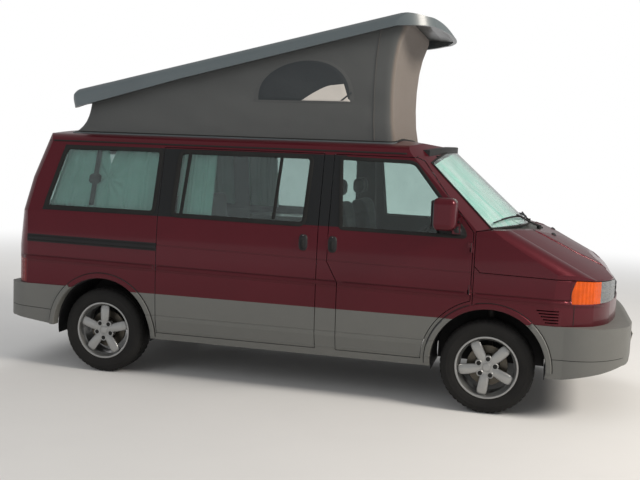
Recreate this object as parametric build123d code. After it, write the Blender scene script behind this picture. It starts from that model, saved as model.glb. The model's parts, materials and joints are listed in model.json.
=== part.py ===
"""Camper van with a raised pop-top roof, built from its real panels and running gear.

Millimetres. X points forward, Y to the van's left and Z up. The origin is on the floor,
under the middle of the van's outer box.
"""

from build123d import *
import math
import os

# Overall size and wheels
HALF_LENGTH = 2394.5
NOSE_TIP = HALF_LENGTH - 112.5
TAIL = 76.5 - HALF_LENGTH
FRONT_AXLE = 1401.5
REAR_AXLE = -1518.5
FRONT_TRACK_HALF = 794.0
REAR_TRACK_HALF = 777.0
TYRE_R = 325.0
TYRE_WIDTH = 215.0
RIM_SEAT_R = 203.0
RIM_FLANGE_R = 219.0
RIM_BARREL = 8.0
HUB_R = 62.0
DISC_R = 142.0
SPOKES = 5

# Gaps and thicknesses
GAP = 5.0
SEAT = 0.3
WALL = 45.0
BONNET_WALL = 30.0
GLASS = 5.0
GLASS_SET = 2.0
GLASS_EDGE = 0.5

# Body levels
SILL_Z = 290.0
SILL_IN = 820.0
DOOR_Z = 345.0
BUMPER_Z = 655.0
LAMP_Z = 808.0
BONNET_LINE_Z = 985.0
GUTTER_Z = 1765.0
ROOF_Z = 1880.0
FLOOR_Z = 480.0
FLOOR_WALL = 40.0

# Body stations along X
DOOR_FRONT = 1270.0
BONNET_REAR = DOOR_FRONT + 15.0
FOOT_X = 1385.0
DOOR_REAR = 245.0
SLIDER_FRONT = 175.0
SLIDER_REAR = -1073.0
NOSE_SEAM = NOSE_TIP - 327.0
REAR_PANEL = TAIL + 208.0
BUMPER_REAR = 1700.0
BEAM_X = NOSE_TIP - 182.0

# Rear corners, step by step: from which level, and how far forward and inward per height
TAIL_STEPS = (
    (950.0, 0.1, 0.0), (1220.0, 0.19, 0.2077), (1480.0, 0.33, 0.2077), (1920.0, 0.0, 0.0))

# Wheel arches
ARCH_R = 395.0
ARCH_Z = 340.0
HOUSING_IN = 455.0
HOUSING_WALL = 12.0
DOOR_ARCH_R = 460.0

# Windscreen, a slice of a cylinder whose axis lies along the rake
RAKE = 41.5
GLASS_R = 1850.0
GLASS_MID = (1295.0, 0.0, 1565.0)

# Bonnet crown, a cylinder across the van, and its sloping shoulders
CROWN_R = 983.0
CROWN_X = NOSE_TIP - 779.0
CROWN_Z = 291.0
SHOULDER_SLOPE = 27.6
SHOULDER_X = NOSE_TIP - 754.0
SHOULDER_Z = 1252.0

# Steering, doors and lids
KING_LOW = (725.0, 215.0)
KING_HIGH = (634.0, 708.0)
BALL_R = 18.0
HINGE_X = 1262.0
HINGE_Y = 918.0
DOOR_HINGES = (860.0, 1150.0)
HINGE_R = 7.0
HINGE_PIN = 3.5
HINGE_LONG = 32.0

# Tailgate hinge axis (x, z), its radius and where its two knuckles lie along Y
GATE_AXIS = (REAR_PANEL + 4.0, 1800.0)
GATE_R = 9.0
GATE_PIN = 4.5
GATE_Y = (360.0, 400.0, 440.0)

# Pop-top shell, drawn flat and then tilted about its rear edge
SHELL_TILT = 13.0
SHELL_REAR = (-1900.0, 0.0, 2050.0)
SHELL_LENGTH = 2940.0
SHELL_HALF = 690.0
SHELL_SKIN = 25.0
ARM_PIVOT = (-400.0, 1885.0)
SHELL_PIVOT = (600.0, 30.0)
ARM_Y = 580.0
PIN_R = 8.0
TENT_HALF = 620.0
TENT_REAR = -1932.0
TENT_FRONT = 650.0
TENT_SKIN = 8.0

# Underbody and inner structure
FIREWALL_X = 1272.0
COWL_Z = 1180.0
FOOT_Z = 1262.0
RAIL_IN = 380.0
RAIL_OUT = 440.0
RAIL_Z = 400.0
REAR_PANEL_HALF = 800.0
STRUT_Y = 625.0
HUB_IN = 50.0

ENGINE_REAR = 1450.0

# Front end
LAMP_REAR = NOSE_SEAM - 25.0
LAMP_IN = 440.0
BUMPER_WALL = 60.0

# Rear plate: screw spacing across and up, its middle height and the hole radius
PLATE_Y = 177.8
PLATE_HIGH = 120.65
PLATE_Z = 980.0
PLATE_HOLE_R = 3.5

# Roof hatch: rear, front and half width
HATCH = (-1150.0, 620.0, 470.0)

# Pop-top arms
ARM_HALF = 6.0
ARM_BOSS_R = 16.0

# Steering wheel centre, its tilt from level and its radius; the front seats' middle
WHEEL_CENTRE = (745.0, 380.0, 1140.0)
WHEEL_TILT = -40.0
STEER_R = 180.0
FRONT_SEAT_Y = 400.0

# Right mirror housing: rear, front, outer, inner, low, high
MIRROR = (1000.0, 1160.0, -1130.0, -945.0, 1268.0, 1484.0)

# Far beyond the van, for blocks that only cut
FAR = HALF_LENGTH + SHELL_LENGTH
BOTTOM = (Align.CENTER, Align.CENTER, Align.MIN)


def outline(start, *steps):
    """A face from a start point and steps; a pair of points is an arc through the first."""
    edges = []
    here = start
    for step in steps:
        if isinstance(step[0], tuple):
            via, end = step
            edges.append(ThreePointArc(here, via, end))
        else:
            end = step
            edges.append(Line(here, end))
        here = end
    if here != start:
        edges.append(Line(here, start))
    return make_face(edges)


def along_x(face, x0, x1):
    return extrude(Plane.YZ.offset(x0) * face, amount=x1 - x0)


def along_y(face, y0, y1):
    return extrude(Plane.XZ.offset(-y0) * face, amount=y0 - y1)


def along_z(face, z0, z1):
    return extrude(Plane.XY.offset(z0) * face, amount=z1 - z0)


def box(x0, x1, y0, y1, z0, z1):
    centre = Pos((x0 + x1) / 2, (y0 + y1) / 2, (z0 + z1) / 2)
    return centre * Box(x1 - x0, y1 - y0, z1 - z0)


def rod_y(x, z, radius, y0, y1):
    return along_y(Pos(x, z) * Circle(radius), y0, y1)


def rod_x(y, z, radius, x0, x1):
    return along_x(Pos(y, z) * Circle(radius), x0, x1)


def rod_z(x, y, radius, z0, z1):
    return along_z(Pos(x, y) * Circle(radius), z0, z1)


def other_side(shape):
    return mirror(shape, Plane.XZ)


def both_sides(shape):
    return shape + other_side(shape)


def inset_face(face, inset):
    return offset(face, -inset, kind=Kind.INTERSECTION) if inset else face


def section_face():
    """The body's outline across the van."""
    sill, waist = (860.0, SILL_Z), (905.0, 450.0)
    belt, rail = (905.0, 1220.0), (797.0, 1740.0)
    edge = (690.0, 1832.0)

    def flip(point):
        return (-point[0], point[1])

    corner, crown = (766.0, 1801.0), (360.0, 1868.0)
    side = (920.0, 830.0)
    return outline(
        flip(sill), sill, waist, (side, belt), rail, (corner, edge),
        (crown, (0.0, ROOF_Z)), (flip(crown), flip(edge)), (flip(corner), flip(rail)),
        flip(belt), (flip(side), flip(waist)),
    )


def profile_face():
    """The cabin's outline from the side, with the front left open for the windscreen."""
    return outline(
        (TAIL + 18.0, SILL_Z), (1750.0, SILL_Z), (1750.0, 1400.0), (1060.0, 1812.0),
        ((760.0, 1862.0), (300.0, 1884.0)), (TAIL + 468.0, 1884.0),
        ((TAIL + 298.0, 1862.0), (TAIL + 213.0, 1790.0)),
        ((TAIL + 86.0, 1400.0), (TAIL + 26.0, 870.0)),
    )


def rear_corner_face(inset):
    """Plan of the body with its two rounded rear corners."""
    half, rear, radius = 925.0 - inset, TAIL + 22.0 + inset, 190.0
    wide = 2 * (FAR + rear * -1)
    plate = Rectangle(wide, 2 * half)
    plate = Pos(rear + wide / 2, 0) * plate
    corners = plate.vertices().group_by(Axis.X)[0]
    return fillet(corners, radius)


def rear_corner_block(inset):
    """The rear corners lean in with the sides and, step by step, forward with the tail."""
    plan = rear_corner_face(inset)
    left_half = box(-FAR, FAR, 0, FAR, 0, FAR)
    shape = along_z(plan, 0.0, TAIL_STEPS[0][0])
    x = y = 0.0
    for (low, lean_x, lean_y), (high, _, _) in zip(TAIL_STEPS, TAIL_STEPS[1:]):
        amount = (high - low) * math.sqrt(1 + lean_x ** 2 + lean_y ** 2)
        right = extrude(Pos(x, y, low) * plan, amount=amount, dir=(lean_x, lean_y, 1))
        left = extrude(Pos(x, -y, low) * plan, amount=amount, dir=(lean_x, -lean_y, 1))
        shape += (right - left_half) + (left & left_half)
        x += lean_x * (high - low)
        y += lean_y * (high - low)
    return shape


def screen_cylinder(radius):
    angle = math.radians(RAKE)
    normal = Vector(math.sin(angle), 0, math.cos(angle))
    centre = Vector(*GLASS_MID) - normal * GLASS_R
    plane = Plane(centre, x_dir=(0, 1, 0), z_dir=(math.cos(angle), 0, -math.sin(angle)))
    return plane * Cylinder(radius, 4 * FAR)


def cabin(inset=0.0):
    """The whole cabin block, smaller by inset on every face."""
    block = along_x(inset_face(section_face(), inset), -FAR, FAR)
    block &= along_y(inset_face(profile_face(), inset), -FAR, FAR)
    block &= rear_corner_block(inset)
    return block & screen_cylinder(GLASS_R - inset)


def screen_prism(grow=0.0):
    """The windscreen's outline, pushed through along the glass normal."""
    angle = math.radians(RAKE)
    normal = (math.sin(angle), 0, math.cos(angle))
    plane = Plane(GLASS_MID, x_dir=(0, 1, 0), z_dir=normal)
    face = outline(
        (-765.0, -255.0), ((0.0, -425.0), (765.0, -255.0)), (690.0, 372.0),
        ((0.0, 382.0), (-690.0, 372.0)),
    )
    face = offset(face, grow, kind=Kind.INTERSECTION) if grow else face
    return extrude(plane * face, amount=400.0, both=True)


def nose_plan(inset=0.0):
    half, corner, tip = 921.0 - inset, 600.0, NOSE_TIP - inset
    front, side, bend = tip - 82.0, tip - 197.0, tip - 130.0
    return outline(
        (1000.0, -half), (1600.0, -half),
        ((LAMP_REAR, -half + 32.0), (side, -800.0)),
        ((bend, -705.0), (front, -corner)), ((tip, 0.0), (front, corner)),
        ((bend, 705.0), (side, 800.0)),
        ((LAMP_REAR, half - 32.0), (1600.0, half)), (1000.0, half),
    )


def nose(inset=0.0):
    """The bonnet and wings as one block, smaller by inset on every face."""
    block = along_x(inset_face(section_face(), inset), 1000.0, FAR)
    block &= along_z(nose_plan(inset), 0.0, FAR)
    crown = rod_y(CROWN_X, CROWN_Z, CROWN_R - inset, -FAR, FAR)
    crown += box(1000.0, CROWN_X, -FAR, FAR, 0, CROWN_Z + CROWN_R - inset)
    block &= crown
    low, top = SHOULDER_Z - 1150.0, SHOULDER_Z + 130.0 - inset
    half = 925.0 - inset
    edge = SHOULDER_Z + 12.0 - inset
    shoulder = outline(
        (-half, low), (half, low), (half, edge - 150.0),
        ((half - 42.0, edge - 46.0), (half - 150.0, edge)),
        ((400.0, top - 26.0), (0.0, top)), ((-400.0, top - 26.0), (150.0 - half, edge)),
        ((42.0 - half, edge - 46.0), (-half, edge - 150.0)),
    )
    slope = math.radians(SHOULDER_SLOPE)
    face = Plane.YZ.offset(SHOULDER_X) * shoulder
    return block & extrude(
        face, amount=900.0, both=True, dir=(math.cos(slope), 0, -math.sin(slope)))


def arch_hole(axle, wall=0.0):
    """The round hole over a wheel, on both sides; with the liner's wall or without."""
    return both_sides(rod_y(axle, ARCH_Z, ARCH_R + wall, -FAR, -HOUSING_IN + wall))


def skin(block, thickness=WALL):
    """The side, end and top walls of a block, open underneath."""
    hollow = block(thickness) + box(
        -FAR, FAR, -SILL_IN, SILL_IN, 0, SILL_Z + thickness + 1.0)
    return block() - hollow


def door_outline(inset=0.0):
    """The front door from the side; its lower front corner follows the arch."""
    reach = math.sqrt(DOOR_ARCH_R ** 2 - (DOOR_FRONT - FRONT_AXLE) ** 2)
    foot = math.sqrt(DOOR_ARCH_R ** 2 - (DOOR_Z - ARCH_Z) ** 2)
    mid = DOOR_ARCH_R * math.sqrt(0.5)
    face = outline(
        (325.0, DOOR_Z), (FRONT_AXLE - foot, DOOR_Z),
        ((FRONT_AXLE - mid, ARCH_Z + mid), (DOOR_FRONT, ARCH_Z + reach)),
        (DOOR_FRONT, 1252.0), (888.0, 1726.0), (838.0, 1748.0), (DOOR_REAR, 1750.0),
        (DOOR_REAR, 985.0), (325.0, 840.0),
    )
    return inset_face(face, inset)


def door_window_outline(grow=0.0):
    face = outline(
        (335.0, 1228.0), (1213.0, 1219.0), (1200.0, 1262.0), (840.0, 1697.0),
        (800.0, 1712.0), (298.0, 1722.0),
    )
    return offset(face, grow, kind=Kind.INTERSECTION) if grow else face


# Window outlines in the cabin sides: rear bottom, front bottom, front top, rear top
SIDE_WINDOWS = {
    "quarter": ((-2021.0, 1258.0), (-1108.0, 1256.0), (-1092.0, 1727.0), (-1892.0, 1722.0)),
    "middle": ((-958.0, 1250.0), (64.0, 1238.0), (84.0, 1722.0), (-938.0, 1720.0)),
}


def side_window(name, grow=0.0):
    points = SIDE_WINDOWS[name]
    face = fillet(outline(*points).vertices(), 45.0)
    return offset(face, grow) if grow else face


def slider_outline(inset=0.0):
    return box(
        SLIDER_REAR + inset, SLIDER_FRONT - inset, -FAR, 0,
        DOOR_Z + inset, 1752.0 - inset)


def foot_cut():
    """What lies ahead of the door gap and below the foot of the windscreen pillar."""
    line = outline(
        (BONNET_REAR - GAP, 0.0), (BONNET_REAR - GAP, FOOT_Z), (FOOT_X, 1276.0),
        (FAR, 1276.0), (FAR, 0.0),
    )
    return along_y(line, -FAR, FAR)


def tailgate_prism(inset=0.0):
    face = outline(
        (-715.0, 665.0), (715.0, 665.0), (715.0, 1150.0), (620.0, 1700.0),
        (560.0, 1796.0), (-560.0, 1796.0), (-620.0, 1700.0), (-715.0, 1150.0),
    )
    return along_x(inset_face(face, inset), -FAR, REAR_PANEL + 130.0)


def tail_lamp_zone(grow=0.0):
    zone = box(
        -FAR, TAIL + 153.0 + grow, -FAR, -735.0 + grow,
        BUMPER_Z + 10.0 - grow, 850.0 + grow)
    return both_sides(zone)


def side_frame(wall, middle_cut):
    """The right side from sill to gutter; the left side is its mirror image."""
    frame = wall & box(-FAR, FAR, -FAR, -560.0, SILL_Z + GAP, GUTTER_Z)
    cuts = [
        along_y(door_outline(), -FAR, 0),
        middle_cut,
        along_y(side_window("quarter"), -FAR, 0),
        foot_cut(),
        screen_prism(),
        tailgate_prism(),
        tail_lamp_zone(SEAT),
        box(-FAR, REAR_AXLE, -FAR, FAR, 0, BUMPER_Z),
        arch_hole(REAR_AXLE),
        arch_hole(FRONT_AXLE),
    ]
    for cut in cuts:
        frame -= cut
    frame &= box(-FAR, FOOT_X + 60.0, -FAR, 0, 0, FAR)
    for z in DOOR_HINGES:
        frame -= rod_z(HINGE_X, -HINGE_Y, HINGE_R + GAP, z - HINGE_LONG, z + HINGE_LONG)
        frame += hinge_leaf(z, -HINGE_LONG, 0.0, DOOR_FRONT + 8.0)
        frame += rod_z(HINGE_X, -HINGE_Y, HINGE_PIN, z - HINGE_LONG, z + HINGE_LONG)
    return frame


def hinge_leaf(z, low, high, x):
    """One leaf of a door hinge: its knuckle round the axis and a tongue to x."""
    leaf = rod_z(HINGE_X, -HINGE_Y, HINGE_R, z + low, z + high)
    x0, x1 = sorted((x, HINGE_X))
    return leaf + box(x0, x1, -HINGE_Y, 14.0 - HINGE_Y, z + low, z + high)


def layer(block, outer, inner):
    """What lies between two depths of the cabin or the nose."""
    return block(outer) - block(inner)


def roof_panel(wall):
    """The roof skin with the hatch under the pop-top and the brackets of its arms."""
    roof = wall & box(-FAR, FAR, -FAR, FAR, GUTTER_Z, FAR)
    roof -= box(HATCH[0], HATCH[1], -HATCH[2], HATCH[2], 0, FAR)
    roof -= screen_prism()
    roof -= tailgate_prism()
    roof -= gate_hinge(GATE_R + GAP, GATE_Y[0] - GAP, GATE_Y[2] + GAP)
    roof += gate_leaf(GATE_Y[1] + SEAT, GATE_Y[2], 1830.0)
    roof += gate_hinge(GATE_PIN, GATE_Y[0], GATE_Y[2])
    x, z = ARM_PIVOT
    bracket = box(x - 30.0, x + 30.0, -ARM_Y + ARM_HALF + SEAT, -ARM_Y + 35.0, 1840.0, z)
    bracket += rod_y(x, z, ARM_BOSS_R, -ARM_Y + ARM_HALF + SEAT, -ARM_Y + 35.0)
    bracket += rod_y(x, z, PIN_R, -ARM_Y - ARM_HALF, -ARM_Y + 35.0)
    bracket -= cabin(WALL / 2)
    return roof + both_sides(bracket)


def gate_hinge(radius, y0, y1):
    x, z = GATE_AXIS
    return both_sides(rod_y(x, z, radius, -y1, -y0))


def gate_leaf(y0, y1, z):
    """One leaf of each tailgate hinge: the knuckle and a strap along the skin to z."""
    x, axis_z = GATE_AXIS
    z0, z1 = sorted((z, axis_z))
    toe = 40.0 if z > axis_z else 4.0
    strap = box(x - 4.0, x + toe, -y1, -y0, z0, z1)
    return both_sides(strap) + gate_hinge(GATE_R, y0, y1)


def front_door(wall):
    door = wall & along_y(door_outline(GAP), -FAR, -560.0)
    door -= along_y(door_window_outline(), -FAR, 0)
    for z in DOOR_HINGES:
        door -= rod_z(HINGE_X, -HINGE_Y, HINGE_R + 2 * GAP, z - HINGE_LONG, z + HINGE_LONG)
        door += hinge_leaf(z, SEAT, HINGE_LONG, HINGE_X - 30.0)
        door -= rod_z(HINGE_X, -HINGE_Y, HINGE_PIN + SEAT, z - HINGE_LONG, z + HINGE_LONG)
    return door


def pane(outline_face):
    return layer(cabin, GLASS_SET, GLASS_SET + GLASS) & along_y(outline_face, -FAR, -560.0)


def mirror_housing():
    """The right door mirror: a rounded housing on two short arms from the door's corner."""
    x0, x1, y0, y1, z0, z1 = MIRROR
    shape = fillet(box(x0, x1, y0, y1, z0, z1).edges(), 42.0)
    for z in (1292.0, 1330.0):
        arm = box(x1 - 60.0, 1176.0, -962.0, -890.0, z, z + 18.0)
        shape += arm
    base = box(1120.0, 1176.0, -915.0, -870.0, 1236.0, 1352.0)
    return (shape + base) - cabin()


def tailgate(wall):
    gate = wall & tailgate_prism(GAP)
    gate -= along_x(rear_window_outline(), -FAR, 0)
    gate -= gate_hinge(GATE_R + GAP, GATE_Y[0] - GAP, GATE_Y[2] + GAP)
    gate += gate_leaf(GATE_Y[0], GATE_Y[1], 1765.0)
    gate -= gate_hinge(GATE_PIN + SEAT, GATE_Y[0] - GAP, GATE_Y[2] + GAP)
    for y in (-PLATE_Y / 2, PLATE_Y / 2):
        for z in (PLATE_Z - PLATE_HIGH / 2, PLATE_Z + PLATE_HIGH / 2):
            gate -= rod_x(y, z, PLATE_HOLE_R, -FAR, REAR_PANEL)
    return gate


def rear_window_outline(inset=0.0):
    face = outline(
        (-640.0, 1235.0), (640.0, 1235.0), (560.0, 1690.0), (-560.0, 1690.0))
    face = fillet(face.vertices(), 60.0)
    return offset(face, -inset) if inset else face


def bonnet_line(grow=0.0):
    """Everything above the shut line that runs from the door round to the nose."""
    corner = 40.0
    face = outline(
        (BONNET_REAR, FAR), (BONNET_REAR, BONNET_LINE_Z + corner),
        (BONNET_REAR + corner, BONNET_LINE_Z), (LAMP_REAR, 970.0),
        (NOSE_TIP - 82.0, 958.0), (NOSE_TIP + 38.0, 944.0), (NOSE_TIP + 38.0, FAR),
    )
    return along_y(inset_face(face, -grow), -FAR, FAR)


def cowl_zone(grow=0.0):
    """Plan of the wiper cowl, behind the bonnet's curved rear edge."""
    half, side, mid = 790.0 + grow, 1372.0 + grow, 1720.0 + grow
    return along_z(outline(
        (900.0, -half), (side, -half), ((mid, 0.0), (side, half)), (900.0, half),
    ), 0, FAR)


def bonnet():
    lid = layer(nose, 0, BONNET_WALL) & bonnet_line()
    lid -= cowl_zone()
    foot = outline(
        (900.0, FOOT_Z - GAP), (BONNET_REAR, FOOT_Z - GAP), (FOOT_X + GAP, 1276.0 - GAP),
        (FOOT_X + GAP, FAR), (900.0, FAR),
    )
    return lid - along_y(foot, -FAR, FAR)


def cowl():
    shape = nose(8.0) & cowl_zone(-GAP)
    shape &= box(BONNET_REAR + 60.0, FAR, -FAR, FAR, COWL_Z, FAR)
    above = box(-FAR, FAR, -FAR, FAR, FOOT_Z, FAR)
    return shape - (screen_cylinder(GLASS_R + SEAT) & above)


def wings():
    wing = skin(nose) & box(BONNET_REAR, NOSE_SEAM, -FAR, -400.0, SILL_Z, FAR)
    wing -= bonnet_line(GAP)
    wing -= box(BUMPER_REAR, FAR, -FAR, 0, 0, BUMPER_Z)
    wing -= box(LAMP_REAR, FAR, -FAR, 0, LAMP_Z, FAR)
    wing -= arch_hole(FRONT_AXLE)
    low = ARCH_Z + 332.0
    arch = FRONT_AXLE + math.sqrt(ARCH_R ** 2 - (low - ARCH_Z) ** 2)
    margin = (NOSE_SEAM - arch) * 0.285
    for i in range(5):
        z = low + i * 20.0
        start = arch + margin + (4 - i) * 15.0
        wing -= box(start, NOSE_SEAM - margin, -FAR, 0, z, z + 8.0)
    return both_sides(wing)


def nose_panel():
    panel = layer(nose, 0, WALL) & box(NOSE_SEAM, FAR, -FAR, FAR, BUMPER_Z, LAMP_Z)
    return panel


def lamps():
    lamp = layer(nose, 1.0, 85.0) & box(
        LAMP_REAR, FAR, -FAR, -LAMP_IN, LAMP_Z, FAR)
    lamp -= bonnet_line(GAP)
    return both_sides(lamp)


def grille():
    """An open grille of level slats between the lamps."""
    panel = layer(nose, 6.0, 46.0) & box(
        NOSE_TIP - 97.0, FAR, -LAMP_IN, LAMP_IN, LAMP_Z, FAR)
    panel -= bonnet_line(GAP)
    for i in range(3):
        z = LAMP_Z + 18.0 + i * 38.0
        panel -= box(NOSE_SEAM, FAR, 20.0 - LAMP_IN, LAMP_IN - 20.0, z, z + 20.0)
    return panel


def bumper_plan_front(inset=0.0):
    half, tip = 924.0 - inset, HALF_LENGTH - inset
    side, bend, front = HALF_LENGTH - 494.5, tip - 224.5, tip - 42.5
    return outline(
        (1400.0, -half), (side, -half), ((bend, -862.0 + inset * 0.7), (front, -560.0)),
        ((tip, 0.0), (front, 560.0)), ((bend, 862.0 - inset * 0.7), (side, half)),
        (1400.0, half),
    )


def bumper_plan_rear(inset=0.0):
    half, tip = 924.0 - inset, -HALF_LENGTH + inset
    side, bend, rear = TAIL + 138.0, tip + 72.5 - inset * 0.3, tip + 32.5
    return outline(
        (-1500.0, -half), (side, -half), ((bend, -850.0 + inset * 0.7), (rear, -680.0)),
        ((tip, 0.0), (rear, 680.0)), ((bend, 850.0 - inset * 0.7), (side, half)),
        (-1500.0, half),
    )


def bumper_side_front():
    """The front bumper from the side: its lower edge rises and its shoulder is round."""
    tip = HALF_LENGTH
    return outline(
        (1400.0, SILL_Z + 8.0), (tip - 494.5, SILL_Z + 10.0), (tip - 240.0, 352.0),
        (tip - 100.0, 392.0), ((tip - 38.0, 412.0), (tip - 14.0, 455.0)), (tip, 530.0),
        (tip, 590.0), ((tip - 18.0, 636.0), (tip - 70.0, BUMPER_Z)), (1400.0, BUMPER_Z))


def bumper_side_rear():
    tip = -HALF_LENGTH
    return outline(
        (-1400.0, 322.0), (REAR_AXLE - 320.0, 337.0), (tip + 127.0, 392.0),
        ((tip + 42.0, 414.0), (tip + 14.0, 466.0)), (tip, 530.0),
        (tip, 595.0), ((tip + 14.0, 636.0), (tip + 60.0, BUMPER_Z)), (-1400.0, BUMPER_Z))


def bumper(plan, side, hollow, axle):
    """A bumper skin with a top shelf that closes against the body."""
    shape = along_z(plan(0), SILL_Z + 8.0, BUMPER_Z) & along_y(side, -FAR, FAR)
    shape -= along_z(plan(BUMPER_WALL), 0, BUMPER_Z - BUMPER_WALL)
    shape -= hollow
    return shape - arch_hole(axle)


def floor_pan():
    """The floor with its two rails, clear of the wheel housings and of the front doors."""
    floor = box(-FAR, FIREWALL_X, -FAR, FAR, FLOOR_Z, FLOOR_Z + FLOOR_WALL)
    rails = both_sides(box(-FAR, FIREWALL_X, -RAIL_OUT, -RAIL_IN, RAIL_Z, FLOOR_Z))
    floor = (floor + rails) & cabin(WALL)
    for axle in (FRONT_AXLE, REAR_AXLE):
        floor -= arch_hole(axle, HOUSING_WALL)
    doorway = layer(cabin, WALL, WALL + GAP)
    return floor - (doorway & box(DOOR_REAR, FIREWALL_X, -FAR, FAR, 0, FAR))


def firewall():
    plate = box(
        FIREWALL_X, FIREWALL_X + 40.0, -FAR, FAR, RAIL_Z + 80.0, COWL_Z)
    shelf = box(FIREWALL_X, BUMPER_REAR, -740.0, 740.0, 1150.0, COWL_Z)
    shape = plate & cabin(WALL)
    shape += shelf & cabin(WALL) & cowl_zone(-GAP)
    shape += shelf & nose(WALL) & cowl_zone(-GAP)
    return shape - arch_hole(FRONT_AXLE, HOUSING_WALL)


def wheel_housings():
    """A half round liner over each wheel with its inner wall."""
    pieces = None
    for axle in (FRONT_AXLE, REAR_AXLE):
        ring = rod_y(axle, ARCH_Z, ARCH_R + HOUSING_WALL, -FAR, -HOUSING_IN + HOUSING_WALL)
        ring -= rod_y(axle, ARCH_Z, ARCH_R, -FAR, -HOUSING_IN)
        ring &= box(-FAR, FAR, -FAR, 0, ARCH_Z + 80.0, FAR) + box(
            -FAR, FAR, -850.0, -HOUSING_IN, ARCH_Z + GAP, FAR)
        ring &= cabin(WALL) + nose(WALL)
        ring = both_sides(ring)
        pieces = ring if pieces is None else pieces + ring
    return pieces


def rear_panel(wall):
    return wall & box(-FAR, REAR_PANEL - 90.0, -REAR_PANEL_HALF, REAR_PANEL_HALF,
                      RAIL_Z, BUMPER_Z)


def front_rails():
    """The rails ahead of the firewall and the beam behind the nose panel."""
    rails = both_sides(box(
        FIREWALL_X + 40.0, BEAM_X + 80.0, -RAIL_OUT, -RAIL_IN, RAIL_Z, FLOOR_Z))
    beam = box(BEAM_X, FAR, -RAIL_OUT, RAIL_OUT, RAIL_Z, 780.0)
    beam = beam & layer(nose, WALL, 120.0)
    stop = Pos(BEAM_X + 65.0, -300.0, 700.0) * Cylinder(16.0, 500.0, align=BOTTOM)
    beam += both_sides(stop & nose(BONNET_WALL + SEAT) & box(0, FAR, -FAR, 0, 0, FAR))
    joint = both_sides(box(BEAM_X, BEAM_X + 100.0, -RAIL_OUT, -RAIL_IN, RAIL_Z, FLOOR_Z))
    return rails + joint + beam


def crossmember_arms():
    """The front crossmember with a lower arm to each steering ball."""
    x, (ball_y, ball_z) = FRONT_AXLE, KING_LOW
    shape = box(x - 70.0, x + 70.0, -RAIL_OUT, RAIL_OUT, 240.0, RAIL_Z)
    top = ball_z - BALL_R - SEAT
    arm = along_z(outline(
        (x - 120.0, -RAIL_OUT + 30.0), (x - 28.0, -ball_y), (x + 28.0, -ball_y),
        (x + 120.0, -RAIL_OUT + 30.0)), top - 16.0, top)
    post = box(x - 120.0, x + 120.0, -RAIL_OUT, -RAIL_OUT + 30.0, top - 16.0, 260.0)
    cup = Pos(x, -ball_y, top - 16.0) * Cylinder(28.0, 16.0, align=BOTTOM)
    return shape + both_sides(arm + post + cup)


def rear_axle():
    x = REAR_AXLE
    shape = box(x + 190.0, x + 270.0, -620.0, 620.0, 300.0, RAIL_Z)
    arm = box(x - 45.0, x + 270.0, -620.0, -560.0, 290.0, 360.0)
    hub = rod_y(x, TYRE_R, 45.0, -REAR_TRACK_HALF + HUB_IN, -560.0)
    return shape + both_sides(arm + hub)


def knuckle():
    """The right front upright: strut, ball joint and hub carrier, turning together."""
    x = FRONT_AXLE
    low_y, low_z = KING_LOW
    high_y, high_z = KING_HIGH
    ball = Pos(x, -low_y, low_z) * Sphere(BALL_R)
    shape = ball + box(x - 14.0, x + 14.0, -low_y - 10.0, -low_y + 10.0, low_z, 300.0)
    top_r = ARCH_Z + ARCH_R - SEAT - high_z
    shape += Pos(x, -high_y, high_z) * Sphere(top_r)
    shape += Pos(x, -STRUT_Y, 300.0) * Cylinder(23.0, high_z - 300.0, align=BOTTOM)
    shape += box(x - 40.0, x + 40.0, -low_y, -STRUT_Y, 285.0, 365.0)
    return shape + rod_y(x, TYRE_R, 45.0, -FRONT_TRACK_HALF + HUB_IN, -STRUT_Y)


def tyre(track_half, axle):
    """A tyre on the right side, as a turned section of lines and arcs."""
    half = TYRE_WIDTH / 2
    seat, shoulder, belly = RIM_SEAT_R, TYRE_R - 16.0, 262.0
    bead = 24.0 - half
    face = outline(
        (bead, seat), (-bead, seat), (-bead, RIM_FLANGE_R + 3.0),
        ((half, belly), (half - 14.0, shoulder)),
        ((half - 22.0, TYRE_R - 4.0), (half - 36.0, TYRE_R)),
        (36.0 - half, TYRE_R),
        ((22.0 - half, TYRE_R - 4.0), (14.0 - half, shoulder)),
        ((-half, belly), (bead, RIM_FLANGE_R + 3.0)),
    )
    return Pos(axle, -track_half, TYRE_R) * revolve(Plane.YZ * face, Axis.Y)


def rim(track_half, axle):
    """A cast wheel on the right side: barrel, five broad spokes, hub and brake disc."""
    half = TYRE_WIDTH / 2 - 8.0
    seat, inner = RIM_SEAT_R - SEAT, RIM_SEAT_R - RIM_BARREL
    barrel = outline(
        (-half, inner), (half, inner), (half, RIM_FLANGE_R), (half - 7.0, RIM_FLANGE_R),
        (half - 10.0, seat), (10.0 - half, seat), (7.0 - half, RIM_FLANGE_R),
        (-half, RIM_FLANGE_R),
    )
    wheel = revolve(Plane.YZ * barrel, Axis.Y)
    face_y = -half + 6.0
    hub_end = HUB_IN - SEAT
    wheel += rod_y(0, 0, HUB_R, face_y, hub_end)
    reach, broad = inner + 4.0, 46.0
    tip = math.sqrt(reach ** 2 - broad ** 2)
    spoke = along_y(outline(
        (-34.0, 40.0), (34.0, 40.0), (broad, tip), ((0.0, reach), (-broad, tip)),
    ), face_y + 6.0, face_y + 34.0)
    for i in range(SPOKES):
        wheel += Rot(0, i * 360.0 / SPOKES, 0) * spoke
    wheel += rod_y(0, 0, DISC_R, -12.0, 8.0)
    return Pos(axle, -track_half, TYRE_R) * wheel


def tilt_shell(shape, pivot=SHELL_REAR):
    return Pos(*pivot) * Rot(0, -SHELL_TILT, 0) * shape


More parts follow.
